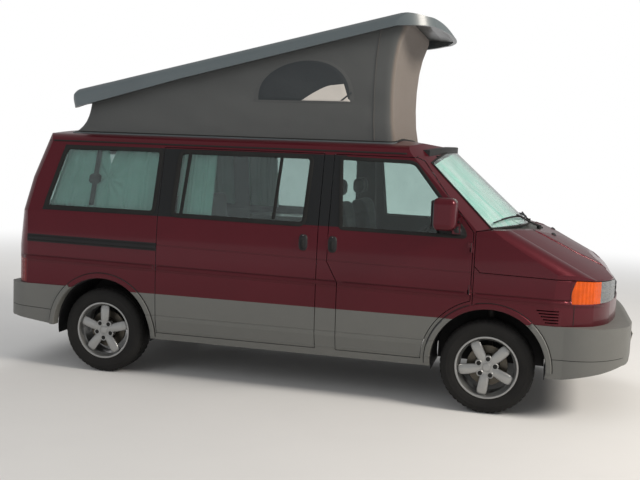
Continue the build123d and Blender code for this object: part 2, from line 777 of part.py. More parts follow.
def shell_block(inset=0.0):
    """The pop-top shell drawn flat, its rear lower edge at the origin.

    With an inset it is the hollow inside the shell, open far below.
    """
    tip = SHELL_LENGTH - inset
    rear, front = inset - 20.0, tip + 4.0
    top = (
        (rear, 10.0 - inset),
        ((20.0 + inset * 0.5, 96.0 - inset), (300.0, 122.0 - inset)),
        (1500.0, 130.0 - inset), (SHELL_LENGTH - 440.0, 136.0 - inset),
        ((SHELL_LENGTH - 290.0, 122.0 - inset), (tip - 120.0, 68.0 - inset)),
        ((tip - 30.0, 20.0 - inset), (front, -46.0)),
    )
    if inset:
        profile = outline((rear, -FAR), *top, (front, -FAR))
    else:
        profile = outline(
            (rear, -12.0), *top, ((tip - 70.0, -14.0), (tip - 180.0, 11.0)),
            (tip - 340.0, 35.0), (917.0, 17.0), (120.0, -12.0))
    half = SHELL_HALF - inset
    shoulder, nose_y = half - 16.0, SHELL_HALF - 190.0
    plan = outline(
        (rear, -half + 60.0), ((rear + 20.0, -shoulder), (rear + 70.0, -half)),
        (SHELL_LENGTH - 340.0, -half), ((tip - 150.0, -half + 90.0), (tip - 80.0, -nose_y)),
        ((front, 0.0), (tip - 80.0, nose_y)),
        ((tip - 150.0, half - 90.0), (SHELL_LENGTH - 340.0, half)),
        (rear + 70.0, half), ((rear + 20.0, shoulder), (rear, half - 60.0)),
    )
    section = outline(
        (-half, -FAR), (half, -FAR), (half, 60.0 - inset),
        ((half - 20.0, 104.0 - inset), (half - 80.0, 126.0 - inset)),
        ((0.0, 160.0 - inset), (80.0 - half, 126.0 - inset)),
        ((20.0 - half, 104.0 - inset), (-half, 60.0 - inset)),
    )
    block = along_y(profile, -FAR, FAR) & along_z(plan, -FAR, FAR)
    return block & along_x(section, -FAR, FAR)


def shell_pivot():
    """Where the arms carry the raised shell, in the van's frame."""
    angle = math.radians(SHELL_TILT)
    u, w = SHELL_PIVOT
    x = SHELL_REAR[0] + u * math.cos(angle) - w * math.sin(angle)
    z = SHELL_REAR[2] + u * math.sin(angle) + w * math.cos(angle)
    return x, z


def poptop_shell():
    shell = shell_block() - shell_block(SHELL_SKIN)
    shell -= along_x(outline(
        (-630.0, -12.0), ((0.0, 66.0), (630.0, -12.0)), (630.0, -FAR), (-630.0, -FAR),
    ), -FAR, 2 * SHELL_SKIN)
    u, w = SHELL_PIVOT
    inner, outer = -ARM_Y + ARM_HALF + SEAT, -ARM_Y + 35.0
    bracket = box(u - 30.0, u + 30.0, inner, outer, w, 115.0)
    bracket += rod_y(u, w, ARM_BOSS_R, inner, outer)
    bracket += rod_y(u, w, PIN_R, -ARM_Y - ARM_HALF, outer)
    bracket &= shell_block(SHELL_SKIN / 2)
    return tilt_shell(shell + both_sides(bracket))


def poptop_arms():
    """Two lifting arms side by side, joined by a tube, from the roof to the shell."""
    x0, z0 = ARM_PIVOT
    x1, z1 = shell_pivot()
    length = math.hypot(x1 - x0, z1 - z0)
    angle = math.degrees(math.atan2(z1 - z0, x1 - x0))
    y0, y1 = -ARM_Y - ARM_HALF, -ARM_Y + ARM_HALF
    arm = box(0, length, y0, y1, -9.0, 9.0)
    arm += rod_y(0, 0, ARM_BOSS_R, y0, y1) + rod_y(length, 0, ARM_BOSS_R, y0, y1)
    arm = both_sides(arm) + rod_y(length * 0.5, 0, 9.0, -ARM_Y, ARM_Y)
    arm -= rod_y(0, 0, PIN_R + SEAT, -FAR, FAR)
    arm -= rod_y(length, 0, PIN_R + SEAT, -FAR, FAR)
    return Pos(x0, 0, z0) * Rot(0, -angle, 0) * arm


def tent():
    """The canvas walls between roof and shell, open underneath and above."""
    face = outline(
        (TENT_REAR, 1700.0), (TENT_FRONT, 1700.0), (TENT_FRONT, 1865.0),
        ((TENT_FRONT - 65.0, 2200.0), (TENT_FRONT, 2560.0)), (TENT_FRONT + 50.0, 2700.0),
        (TENT_FRONT + 50.0, 3000.0), (TENT_REAR + 120.0, 3000.0),
        (TENT_REAR + 120.0, 2075.0), ((TENT_REAR + 80.0, 1925.0), (TENT_REAR, 1862.0)))
    walls = along_y(face, -TENT_HALF, TENT_HALF)
    inner = TENT_HALF - TENT_SKIN
    walls -= along_y(inset_face(face, TENT_SKIN), -inner, inner)
    walls -= box(-FAR, FAR, -FAR, FAR, 0, 1750.0)
    walls -= cabin()
    limit = tilt_shell(shell_block(SHELL_SKIN + SEAT))
    return walls & limit


def air_deflector():
    """The low dark strip across the roof just above the windscreen."""
    shape = along_z(outline(
        (850.0, -640.0), (905.0, -640.0), ((1032.0, 0.0), (905.0, 640.0)),
        (850.0, 640.0), ((970.0, 0.0), (850.0, -640.0))), 1700.0, 1900.0)
    shape &= along_x(outline(
        (-640.0, 1700.0), (640.0, 1700.0), (640.0, 1802.0), ((0.0, 1840.0), (-640.0, 1802.0)),
    ), 0, FAR)
    return shape - cabin()


def dashboard():
    shape = along_y(outline(
        (FIREWALL_X, 760.0), (FIREWALL_X, 1190.0), (1150.0, 1190.0),
        ((1030.0, 1180.0), (985.0, 1120.0)), (1010.0, 900.0), (1080.0, 760.0),
    ), -780.0, 780.0)
    x, y, z = WHEEL_CENTRE
    column = Pos(x, y, z) * Rot(0, WHEEL_TILT, 0) * Pos(0, 0, -500.0) * Cylinder(
        32.0, 440.0, align=BOTTOM)
    column &= box(0, 1100.0, -FAR, FAR, 0, FAR)
    return shape + column


def steering_wheel():
    """A three spoke wheel on its hub, standing clear of the column."""
    ring = Torus(STEER_R, 15.0)
    hub = Cylinder(52.0, 40.0) + Pos(0, 0, -59.7) * Cylinder(22.0, 40.0, align=BOTTOM)
    shape = ring + hub
    for turn in (0.0, 180.0, 270.0):
        shape += Rot(0, 0, turn + 90.0) * Pos(0, STEER_R / 2, 0) * Box(34.0, STEER_R, 14.0)
    x, y, z = WHEEL_CENTRE
    return Pos(x, y, z) * Rot(0, WHEEL_TILT, 0) * shape


def seat(x, y, width, depth, back_z, lean):
    """One seat: a boxed base with the cushion and the leaning back above it."""
    half = width / 2
    floor = FLOOR_Z + FLOOR_WALL
    shape = box(x + 40.0, x + depth - 40.0, y - half + 40.0, y + half - 40.0, floor, 770.0)
    shape += box(x, x + depth, y - half, y + half, 770.0, 900.0)
    back = outline(
        (x - 20.0, 830.0), (x + 120.0, 830.0), (x + 110.0 - lean, back_z),
        (x - 5.0 - lean, back_z))
    return shape + along_y(back, y - half, y + half)


def front_seats():
    return both_sides(seat(290.0, -FRONT_SEAT_Y, 500.0, 500.0, 1560.0, 110.0))


def rear_bench():
    return seat(-1040.0, -170.0, 1180.0, 560.0, 1430.0, 90.0)


def kitchen_unit():
    """The camper's cupboard along the left wall, behind the driver."""
    unit = box(-820.0, 120.0, 480.0, FAR, FLOOR_Z + FLOOR_WALL, 1190.0)
    unit &= cabin(WALL)
    return unit


def window_covers():
    """Curtains behind the rear windows, in their drawn places."""
    cloth = layer(cabin, WALL + SEAT, WALL + 18.0)
    pieces = cloth & along_y(side_window("quarter", 14.0), -FAR, FAR)
    rear_part = box(-FAR, -655.0, -FAR, FAR, 0, FAR)
    pieces += cloth & rear_part & along_y(side_window("middle", 14.0), -FAR, FAR)
    return pieces


def sunshade():
    depth = GLASS_SET + GLASS + SEAT
    shade = screen_cylinder(GLASS_R - depth) - screen_cylinder(GLASS_R - depth - 6.0)
    return shade & screen_prism(-20.0)


def exhaust():
    pipe = rod_x(-230.0, 432.0, 26.0, TAIL + 78.0, ENGINE_REAR - SEAT)
    return pipe + rod_x(-230.0, 432.0, 46.0, -900.0, -300.0)


def fuel_tank():
    tank = box(-780.0, 60.0, 90.0, RAIL_IN, 330.0, FLOOR_Z)
    return fillet(tank.edges().filter_by(Axis.X), 30.0)


def engine_block():
    return box(ENGINE_REAR, BEAM_X - 60.0, -RAIL_IN, RAIL_IN, RAIL_Z + 5.0, 980.0)


def build_nodes():
    """Every node by name."""
    wall = skin(cabin)
    middle = along_y(side_window("middle"), -FAR, 0)
    nodes = {}
    tail = rear_panel(wall)
    nodes["floor_pan"] = floor_pan() + firewall() + tail
    nodes["side_frame_right"] = side_frame(wall, slider_outline())
    nodes["side_frame_left"] = other_side(side_frame(wall, middle))
    nodes["roof_panel"] = roof_panel(wall)
    slider = wall & slider_outline(GAP)
    nodes["sliding_door"] = slider - middle
    panes = both_sides(pane(side_window("quarter", -GLASS_EDGE)))
    panes += both_sides(pane(side_window("middle", -GLASS_EDGE)))
    nodes["side_glass"] = panes
    nodes["windscreen"] = (
        screen_cylinder(GLASS_R - GLASS_SET) - screen_cylinder(GLASS_R - GLASS_SET - GLASS)
    ) & screen_prism(-GLASS_EDGE)
    nodes["cowl_panel"] = cowl()
    nodes["front_wings"] = wings()
    nodes["nose_panel"] = nose_panel()
    nodes["front_lamps"] = lamps()
    nodes["grille"] = grille()
    nodes["front_bumper"] = bumper(
        bumper_plan_front, bumper_side_front(), along_z(nose_plan(WALL), 0, FAR), FRONT_AXLE
    ) & box(BUMPER_REAR, FAR, -FAR, FAR, 0, FAR)
    nodes["rear_bumper"] = bumper(
        bumper_plan_rear, bumper_side_rear(), cabin(WALL), REAR_AXLE
    ) & box(-FAR, REAR_AXLE, -FAR, FAR, 0, FAR)
    nodes["rear_bumper"] -= tail
    nodes["tail_lamps"] = layer(cabin, 1.0, 40.0) & tail_lamp_zone()
    nodes["wheel_housings"] = wheel_housings()
    nodes["front_subframe"] = front_rails() + crossmember_arms()
    nodes["engine_block"] = engine_block()
    nodes["rear_axle"] = rear_axle()
    nodes["fuel_tank"] = fuel_tank()
    nodes["exhaust"] = exhaust()
    nodes["bonnet"] = bonnet()
    door = front_door(wall)
    glass = pane(door_window_outline(-GLASS_EDGE))
    nodes["door_right"] = door + mirror_housing()
    nodes["door_right_glass"] = glass
    nodes["tailgate"] = tailgate(wall)
    nodes["tailgate_glass"] = layer(cabin, GLASS_SET, GLASS_SET + GLASS) & along_x(
        rear_window_outline(GLASS_EDGE), -FAR, 0)
    nodes["knuckle_right"] = knuckle()
    for name in ("door_right", "door_right_glass", "knuckle_right"):
        nodes[name.replace("right", "left")] = other_side(nodes[name])
    for end, axle, half in (
            ("front", FRONT_AXLE, FRONT_TRACK_HALF), ("rear", REAR_AXLE, REAR_TRACK_HALF)):
        for part, make in (("tyre", tyre), ("rim", rim)):
            right = make(half, axle)
            nodes[part + "_" + end + "_right"] = right
            nodes[part + "_" + end + "_left"] = other_side(right)
    nodes["poptop_shell"] = poptop_shell()
    nodes["poptop_arms"] = poptop_arms()
    nodes["tent"] = tent()
    nodes["air_deflector"] = air_deflector()
    nodes["dashboard"] = dashboard()
    nodes["steering_wheel"] = steering_wheel()
    nodes["front_seats"] = front_seats()
    nodes["rear_bench"] = rear_bench()
    nodes["kitchen_unit"] = kitchen_unit()
    nodes["window_covers"] = window_covers()
    nodes["sunshade"] = sunshade()
    return nodes


def main():
    os.makedirs("parts", exist_ok=True)
    for name, shape in build_nodes().items():
        export_step(shape, os.path.join("parts", name + ".step"))


main()
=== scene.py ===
"""Looks of the camper van: materials, trim, wheels, canvas, curtains and seats."""
import json
import math

import bmesh
import bpy
from mathutils import Matrix, Vector, noise
from mathutils.bvhtree import BVHTree

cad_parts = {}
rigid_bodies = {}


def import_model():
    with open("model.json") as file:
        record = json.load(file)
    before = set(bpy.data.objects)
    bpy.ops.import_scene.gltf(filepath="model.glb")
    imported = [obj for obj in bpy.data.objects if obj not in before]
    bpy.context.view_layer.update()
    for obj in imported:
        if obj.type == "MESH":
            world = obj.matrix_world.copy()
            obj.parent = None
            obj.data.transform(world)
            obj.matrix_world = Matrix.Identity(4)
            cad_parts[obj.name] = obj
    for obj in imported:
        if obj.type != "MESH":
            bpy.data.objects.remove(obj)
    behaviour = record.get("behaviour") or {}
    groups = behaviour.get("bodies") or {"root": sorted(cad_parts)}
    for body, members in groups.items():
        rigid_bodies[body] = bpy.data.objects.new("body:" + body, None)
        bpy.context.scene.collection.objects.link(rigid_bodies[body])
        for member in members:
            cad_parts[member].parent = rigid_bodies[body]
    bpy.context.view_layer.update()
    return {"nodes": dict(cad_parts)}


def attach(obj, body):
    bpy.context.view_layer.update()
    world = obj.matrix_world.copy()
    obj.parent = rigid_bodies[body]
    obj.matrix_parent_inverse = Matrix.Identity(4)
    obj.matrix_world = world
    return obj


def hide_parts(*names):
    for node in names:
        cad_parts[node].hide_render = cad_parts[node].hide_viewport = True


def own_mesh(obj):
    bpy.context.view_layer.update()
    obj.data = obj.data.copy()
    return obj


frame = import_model()
NODES = frame["nodes"]

SHELL_TILT = math.radians(13.0)
SHELL_REAR = (-1.9, 2.05)
FRONT_AXLE, REAR_AXLE = 1.4015, -1.5185
TRACKS = {"front": 0.794, "rear": 0.777}
TYRE_R = 0.325
ARCH_Z, ARCH_R = 0.34, 0.395
RAKE, SHADE_RAKE = math.radians(41.5), 0.7243
WHEEL_SPIN = {"front": math.radians(-28.0), "rear": math.radians(2.0)}

# Paint lines: the grey's top, the black band's height, ends and rear line (slope, start)
GREY_TOP = 0.650
BAND_LOW, BAND_HIGH, BAND_FRONT, BAND_REAR = 1.236, 1.742, 0.338, (0.272, -2.377)
# Pressed lines fall towards the nose by these slopes
SWAGE_FALL, GROOVE_FALL, GROOVE_Z = 0.011, 0.0174, 1.000
SWAGE_Z, SWAGE_HALF = 0.838, 0.013
# Where the sides begin, the slide rail ends and the cabin's trim ends
SIDE_Y, RAIL_FRONT, CABIN_FRONT = 0.7, -1.07, 1.3

# The windscreen is part of a cylinder, met at its middle
SCREEN_MIDDLE, SCREEN_R = Vector((1.295, 0.0, 1.565)), 1.85

# The photo's camera, and the level of plain light all round
CAMERA_AT = Vector((1.725, -6.893, 1.717))
YAW, PITCH, ROLL = math.radians(14.38), math.radians(-5.38), math.radians(2.29)
SENSOR, FOCAL_PIXELS, WIDTH_PIXELS = 36.0, 872.0, 640.0
WORLD_LIGHT = 0.45

# How close the ribs of the lamps stand
FLUTES = 420.0


# Materials

def new_material(name):
    mat = bpy.data.materials.new(name)
    mat.use_nodes = True
    tree = mat.node_tree
    return mat, tree, tree.nodes["Principled BSDF"]


def add_node(tree, kind, links=None, **settings):
    node = tree.nodes.new(kind)
    for key, value in settings.items():
        if hasattr(node, key):
            setattr(node, key, value)
    for key, value in (links or {}).items():
        socket = node.inputs[key]
        if isinstance(value, bpy.types.NodeSocket):
            tree.links.new(value, socket)
        else:
            socket.default_value = value
    return node


def maths(tree, operation, a, b=0.0, c=None, clamp=False):
    inputs = {0: a, 1: b} if c is None else {0: a, 1: b, 2: c}
    node = add_node(tree, "ShaderNodeMath", inputs, operation=operation)
    node.use_clamp = clamp
    return node.outputs[0]


def times(tree, a, b):
    return maths(tree, "MULTIPLY", a, b)


def plus(tree, a, b):
    return maths(tree, "ADD", a, b)


def mix_colour(tree, factor, a, b):
    node = add_node(tree, "ShaderNodeMix", data_type="RGBA")
    for index, value in ((0, factor), (6, a), (7, b)):
        if isinstance(value, bpy.types.NodeSocket):
            tree.links.new(value, node.inputs[index])
        else:
            node.inputs[index].default_value = (*value, 1.0) if index else value
    return node.outputs[2]


def feed(node, name, socket):
    node.id_data.links.new(socket, node.inputs[name])


def object_coords(tree):
    return add_node(tree, "ShaderNodeTexCoord").outputs["Object"]


def split_of(tree, vector):
    return add_node(tree, "ShaderNodeSeparateXYZ", {0: vector}).outputs


def noise_of(tree, coords, scale, detail=4.0):
    return add_node(tree, "ShaderNodeTexNoise", {
        "Vector": coords, "Scale": scale, "Detail": detail, "Roughness": 0.6,
    }).outputs["Fac"]


def set_plain(bsdf, **values):
    for key, value in values.items():
        bsdf.inputs[key.replace("_", " ")].default_value = value


def bump(tree, bsdf, height, strength, distance):
    node = add_node(tree, "ShaderNodeBump", {
        "Height": height, "Strength": strength, "Distance": distance})
    feed(bsdf, "Normal", node.outputs[0])


def uneven_gloss(tree, bsdf, value, low, high):
    gloss = add_node(tree, "ShaderNodeMapRange", {
        "Value": value, "To Min": low, "To Max": high})
    feed(bsdf, "Roughness", gloss.outputs[0])


def worn(name, colour, second, rough=(0.4, 0.6), patch=3.0, grain=400.0, lift=0.0004,
         strength=0.3, **plain):
    """A finish with two mottled colours, an uneven gloss and a fine grain."""
    mat, tree, bsdf = new_material(name)
    coords = object_coords(tree)
    broad = noise_of(tree, coords, patch, 6.0)
    feed(bsdf, "Base Color", mix_colour(tree, broad, colour, second))
    uneven_gloss(tree, bsdf, noise_of(tree, coords, patch * 4.0), *rough)
    bump(tree, bsdf, noise_of(tree, coords, grain, 3.0), strength, lift)
    set_plain(bsdf, **plain)
    return mat


def pulse(tree, value, centre, half):
    """One at centre, fading to nothing half away from it."""
    off = maths(tree, "ABSOLUTE", maths(tree, "SUBTRACT", value, centre))
    return maths(tree, "SUBTRACT", 1.0, maths(tree, "DIVIDE", off, half), clamp=True)


def between(tree, value, low, high):
    above = maths(tree, "GREATER_THAN", value, low)
    return times(tree, above, maths(tree, "LESS_THAN", value, high))


RED = (0.078, 0.004, 0.009)
GREY = (0.142, 0.142, 0.132)
BLACK = (0.006, 0.007, 0.008)
TRIM = (0.075, 0.075, 0.078)


def body_paint():
    """Garnet paint above a grey band, black between the side windows, trim inside."""
    mat, tree, bsdf = new_material("body_paint")
    texture = add_node(tree, "ShaderNodeTexCoord")
    coords = texture.outputs["Object"]
    x, y, z = split_of(tree, coords)
    flakes = noise_of(tree, coords, 900.0, 2.0)
    cloudy = noise_of(tree, coords, 1.3, 5.0)
    red = mix_colour(tree, flakes, RED, (0.112, 0.009, 0.018))
    red = mix_colour(tree, times(tree, cloudy, 0.5), red, (0.046, 0.005, 0.008))
    dust = times(tree, noise_of(tree, coords, 9.0, 8.0), 0.35)
    grey = mix_colour(tree, dust, GREY, (0.108, 0.11, 0.102))
    lower = maths(tree, "LESS_THAN", z, GREY_TOP)
    colour = mix_colour(tree, lower, red, grey)
    lean = maths(tree, "MULTIPLY_ADD", z, *BAND_REAR)
    band = times(tree, between(tree, z, BAND_LOW, BAND_HIGH),
                 times(tree, maths(tree, "GREATER_THAN", x, lean),
                       maths(tree, "LESS_THAN", x, BAND_FRONT)))
    sides = maths(tree, "GREATER_THAN", maths(tree, "ABSOLUTE", y), SIDE_Y)
    band = times(tree, band, sides)
    colour = mix_colour(tree, band, colour, BLACK)
    away = add_node(tree, "ShaderNodeVectorMath", {0: coords, 1: (-0.3, 0.0, 1.05)},
                    operation="SUBTRACT")
    dot = add_node(tree, "ShaderNodeVectorMath", {
        0: away.outputs[0], 1: texture.outputs["Normal"]}, operation="DOT_PRODUCT")
    inside = maths(tree, "LESS_THAN", dot.outputs["Value"], -0.05)
    inside = times(tree, inside, maths(tree, "LESS_THAN", x, CABIN_FRONT))
    colour = mix_colour(tree, inside, colour, TRIM)
    feed(bsdf, "Base Color", colour)
    plain = maths(tree, "MAXIMUM", lower, maths(tree, "MAXIMUM", band, inside))
    feed(bsdf, "Metallic", times(tree, maths(tree, "SUBTRACT", 1.0, plain), 0.45))
    rough = maths(tree, "MULTIPLY_ADD", plain, 0.16, 0.3)
    rough = plus(tree, rough, times(tree, inside, 0.3))
    feed(bsdf, "Roughness", rough)
    crease = maths(tree, "MULTIPLY_ADD", x, SWAGE_FALL, z)
    upper = maths(tree, "MULTIPLY_ADD", x, GROOVE_FALL, z)
    forward = maths(tree, "GREATER_THAN", x, RAIL_FRONT)
    groove = times(tree, pulse(tree, upper, GROOVE_Z, 0.007), forward)
    height = times(tree, groove, -1.0)
    for line, centre, half, rise in (
            (crease, 0.85, 0.011, -1.6), (crease, 0.822, 0.018, 1.6),
            (z, 0.482, 0.006, -1.0), (z, 0.366, 0.012, 1.0)):
        height = plus(tree, height, times(tree, pulse(tree, line, centre, half), rise))
    height = times(tree, height, sides)
    fine = times(tree, noise_of(tree, coords, 350.0, 2.0), 0.02)
    bump(tree, bsdf, plus(tree, height, fine), 0.9, 0.0045)
    set_plain(bsdf, Coat_Weight=0.3, Coat_Roughness=0.06, Specular_IOR_Level=0.2)
    return mat


def woven(name, colour, second, thread, sheen=0.25, fold=2.5, front=None):
    """Cloth: crossed threads, a soft mottle, a sheen, and a warmer colour on forward faces
    that paints sunlight.
    """
    mat, tree, bsdf = new_material(name)
    coords = object_coords(tree)
    mottle = noise_of(tree, coords, fold, 6.0)
    base = mix_colour(tree, mottle, colour, second)
    x, y, z = split_of(tree, coords)
    warp = maths(tree, "SINE", times(tree, plus(tree, x, y), thread))
    weft = maths(tree, "SINE", times(tree, z, thread))
    threads = times(tree, warp, weft)
    shade = maths(tree, "MULTIPLY_ADD", threads, 0.1, 0.1)
    dark = [c * 0.5 for c in colour]
    base = mix_colour(tree, maths(tree, "ADD", shade, 0.0, clamp=True), base, dark)
    # Faces that look forward are mixed towards the front colour: painted sunlight on the
    # cloth.
    if front:
        normal = add_node(tree, "ShaderNodeTexCoord").outputs["Normal"]
        facing = split_of(tree, normal)[0]
        ahead = add_node(tree, "ShaderNodeMapRange", {
            "Value": facing, "From Min": 0.45, "From Max": 0.85})
        base = mix_colour(tree, ahead.outputs[0], base, front)
    feed(bsdf, "Base Color", base)
    bump(tree, bsdf, plus(tree, threads, noise_of(tree, coords, 60.0)), 0.5, 0.0006)
    set_plain(bsdf, Roughness=0.9, Sheen_Weight=sheen, Sheen_Roughness=0.5)
    return mat


def glazing(name, colour):
    """Thick glass with a faint film."""
    mat, tree, bsdf = new_material(name)
    coords = object_coords(tree)
    smear = noise_of(tree, coords, 5.0, 6.0)
    dark = [c * 0.8 for c in colour]
    feed(bsdf, "Base Color", mix_colour(tree, smear, colour, dark))
    uneven_gloss(tree, bsdf, noise_of(tree, coords, 24.0, 8.0), 0.02, 0.06)
    set_plain(bsdf, Transmission_Weight=1.0, IOR=1.45)
    return mat


def lens(name, inner, outer, edge):
    """A fluted lamp lens, one colour towards the middle and another outside |y| = edge."""
    mat, tree, bsdf = new_material(name)
    coords = object_coords(tree)
    _, y, z = split_of(tree, coords)
    side = maths(tree, "GREATER_THAN", maths(tree, "ABSOLUTE", y), edge)
    # The glow noise mixes each colour with a darker copy: painted shade inside the lamp.
    glow = noise_of(tree, coords, 14.0, 2.0)
    a = mix_colour(tree, glow, inner, [c * 0.45 for c in inner])
    b = mix_colour(tree, glow, outer, [c * 0.55 for c in outer])
    feed(bsdf, "Base Color", mix_colour(tree, side, a, b))
    metal = times(tree, maths(tree, "SUBTRACT", 1.0, side), 0.9)
    feed(bsdf, "Metallic", metal)
    flute = maths(tree, "SINE", times(tree, y, FLUTES))
    tier = maths(tree, "SINE", times(tree, z, FLUTES * 0.35))
    bump(tree, bsdf, plus(tree, flute, times(tree, tier, 0.6)), 0.6, 0.0015)
    set_plain(bsdf, Roughness=0.25, Coat_Weight=0.2, Coat_Roughness=0.04,
              Specular_IOR_Level=0.2)
    return mat


def foil():
    """A metallised windscreen shade with creases, and lighter streaks that paint its
    glints.
    """
    mat, tree, bsdf = new_material("foil")
    coords = object_coords(tree)
    crease = add_node(tree, "ShaderNodeTexVoronoi", {"Vector": coords, "Scale": 6.0},
                      feature="DISTANCE_TO_EDGE")
    wide = noise_of(tree, coords, 5.0, 3.0)
    along = add_node(tree, "ShaderNodeVectorMath", {0: coords, 1: (1.0, 7.0, 1.0)},
                     operation="MULTIPLY").outputs[0]
    # Lighter streaks along the slope: painted highlights on the crumpled foil.
    glint_streak = add_node(tree, "ShaderNodeMapRange", {
        "Value": noise_of(tree, along, 2.6, 3.0), "From Min": 0.35, "From Max": 0.62})
    feed(bsdf, "Base Color", mix_colour(tree, glint_streak.outputs[0], (0.42, 0.86, 0.76),
                                        (0.88, 0.98, 0.95)))
    height = plus(tree, maths(tree, "MINIMUM", crease.outputs[0], 0.12), wide)
    bump(tree, bsdf, height, 0.7, 0.02)
    set_plain(bsdf, Roughness=0.38, Metallic=0.2)
    return mat


MAT = {
    "paint": body_paint(),
    "bumper": worn("bumper_plastic", GREY, (0.114, 0.115, 0.107), (0.48, 0.62), 2.5, 700.0,
                   0.0006, 0.25),
    "shell": worn("shell_gelcoat", (0.098, 0.122, 0.13), (0.078, 0.096, 0.104),
                  (0.34, 0.46), 2.0, 120.0, 0.0005, 0.15, Coat_Weight=0.3,
                  Coat_Roughness=0.2),
    "black": worn("black_plastic", (0.014, 0.014, 0.015), (0.024, 0.024, 0.025),
                  (0.42, 0.6), 6.0, 900.0, 0.0005, 0.35, Specular_IOR_Level=0.22),
    "rubber": worn("seal_rubber", (0.01, 0.01, 0.01), (0.02, 0.02, 0.019),
                   (0.55, 0.75), 9.0, 1200.0, 0.0003, 0.3, Specular_IOR_Level=0.2),
    "steel": worn("chassis_black", (0.03, 0.029, 0.028), (0.06, 0.052, 0.045),
                  (0.5, 0.8), 5.0, 300.0, 0.0008, 0.4, Metallic=0.3),
    "under": worn("underbody_sealant", (0.035, 0.034, 0.033), (0.062, 0.056, 0.05),
                  (0.7, 0.9), 4.0, 160.0, 0.0015, 0.5),
    "alloy": worn("alloy_lacquer", (0.4, 0.405, 0.4), (0.31, 0.31, 0.305), (0.24, 0.38),
                  12.0, 900.0, 0.0002, 0.15, Metallic=0.75, Coat_Weight=0.4,
                  Coat_Roughness=0.15),
    "disc": worn("brake_disc", (0.085, 0.075, 0.058), (0.13, 0.118, 0.1), (0.3, 0.45),
                 30.0, 600.0, 0.0003, 0.3, Metallic=0.8),
    "tyre": worn("tyre_rubber", (0.011, 0.011, 0.011), (0.022, 0.021, 0.02), (0.7, 0.88),
                 10.0, 800.0, 0.0004, 0.4, Specular_IOR_Level=0.2),
    "cowl": worn("cowl_plastic", (0.06, 0.058, 0.055), (0.044, 0.043, 0.041), (0.45, 0.6),
                 6.0, 700.0, 0.0006, 0.4),
    # The canvas's front colour paints sunlight on its forward faces
    "canvas": woven("canvas", (0.092, 0.096, 0.095), (0.07, 0.073, 0.073), 2200.0,
                    front=(0.15, 0.124, 0.104)),
    "mesh": woven("window_mesh", (0.03, 0.036, 0.04), (0.046, 0.052, 0.056), 3000.0,
                  sheen=0.05),
    # An opaque pale colour: painted light seen through the tent's windows
    "clear": worn("painted_skylight", (0.62, 0.58, 0.53), (0.52, 0.49, 0.45), (0.25, 0.4), 4.0,
                  40.0, 0.002, 0.3),
    "curtain": woven("curtain_cloth", (0.42, 0.68, 0.61), (0.33, 0.56, 0.5), 1600.0,
                     sheen=0.4, fold=4.0),
    "seat": woven("seat_cloth", (0.055, 0.056, 0.06), (0.085, 0.085, 0.09), 1200.0,
                  sheen=0.4),
    "trim": worn("grained_trim", TRIM, (0.055, 0.055, 0.058), (0.55, 0.72), 4.0, 500.0,
                 0.0008, 0.5),
    "cupboard": worn("laminate", (0.3, 0.27, 0.23), (0.25, 0.225, 0.19), (0.35, 0.5), 3.0,
                     90.0, 0.0005, 0.2),
    "foil": foil(),
    "mirror": worn("mirror_glass", (0.82, 0.84, 0.85), (0.74, 0.76, 0.78), (0.03, 0.06),
                   5.0, 40.0, 0.0001, 0.05, Metallic=1.0),
    "plate": worn("plate_white", (0.62, 0.62, 0.6), (0.54, 0.54, 0.52), (0.35, 0.5), 8.0,
                  300.0, 0.0003, 0.2),
    "chrome": worn("bright_metal", (0.66, 0.67, 0.68), (0.52, 0.53, 0.54), (0.12, 0.25),
                   20.0, 500.0, 0.0002, 0.1, Metallic=1.0),
    "glass": glazing("window_glass", (0.62, 0.74, 0.71)),
    "dark_glass": glazing("rear_glass", (0.52, 0.62, 0.6)),
    "screen": glazing("screen_glass", (0.82, 0.92, 0.89)),
    "head": lens("head_lamp", (0.34, 0.36, 0.36), (0.8, 0.105, 0.0005), 0.742),
    "tail": lens("tail_lamp", (0.2, 0.006, 0.008), (0.2, 0.006, 0.008), 0.0),
}


def paint_shade_below(mat, share):
    """Faces of the roof shell that point down are darkened towards black: painted shade
    under the shell.
    """
    tree = mat.node_tree
    bsdf = next(n for n in tree.nodes if n.type == "BSDF_PRINCIPLED")
    colour = bsdf.inputs["Base Color"].links[0].from_socket
    normal = add_node(tree, "ShaderNodeTexCoord").outputs["Normal"]
    height = split_of(tree, normal)[2]
    under = maths(tree, "LESS_THAN", height, -0.25)
    dark = mix_colour(tree, share, colour, BLACK)
    feed(bsdf, "Base Color", mix_colour(tree, under, colour, dark))


# Painted shade on the downward faces of the roof shell
paint_shade_below(MAT["shell"], 0.75)

CAD_LOOKS = {
    "paint": "side_frame_right side_frame_left roof_panel sliding_door front_wings "
             "nose_panel bonnet door_right door_left tailgate",
    "glass": "door_right_glass door_left_glass",
    "dark_glass": "side_glass tailgate_glass",
    "screen": "windscreen",
    "cowl": "cowl_panel",
    "black": "grille wheel_housings fuel_tank air_deflector",
    "bumper": "front_bumper rear_bumper",
    "under": "floor_pan",
    "steel": "front_subframe engine_block rear_axle exhaust knuckle_right knuckle_left "
             "poptop_arms",
    "head": "front_lamps",
    "tail": "tail_lamps",
    "shell": "poptop_shell",
    "trim": "dashboard",
    "cupboard": "kitchen_unit",
}
for key, names in CAD_LOOKS.items():
    for name in names.split():
        mesh = NODES[name].data
        mesh.materials.clear()
        mesh.materials.append(MAT[key])


# Mesh helpers

ROOTS, DOORS = ("root", "root"), ("door_right", "door_left")


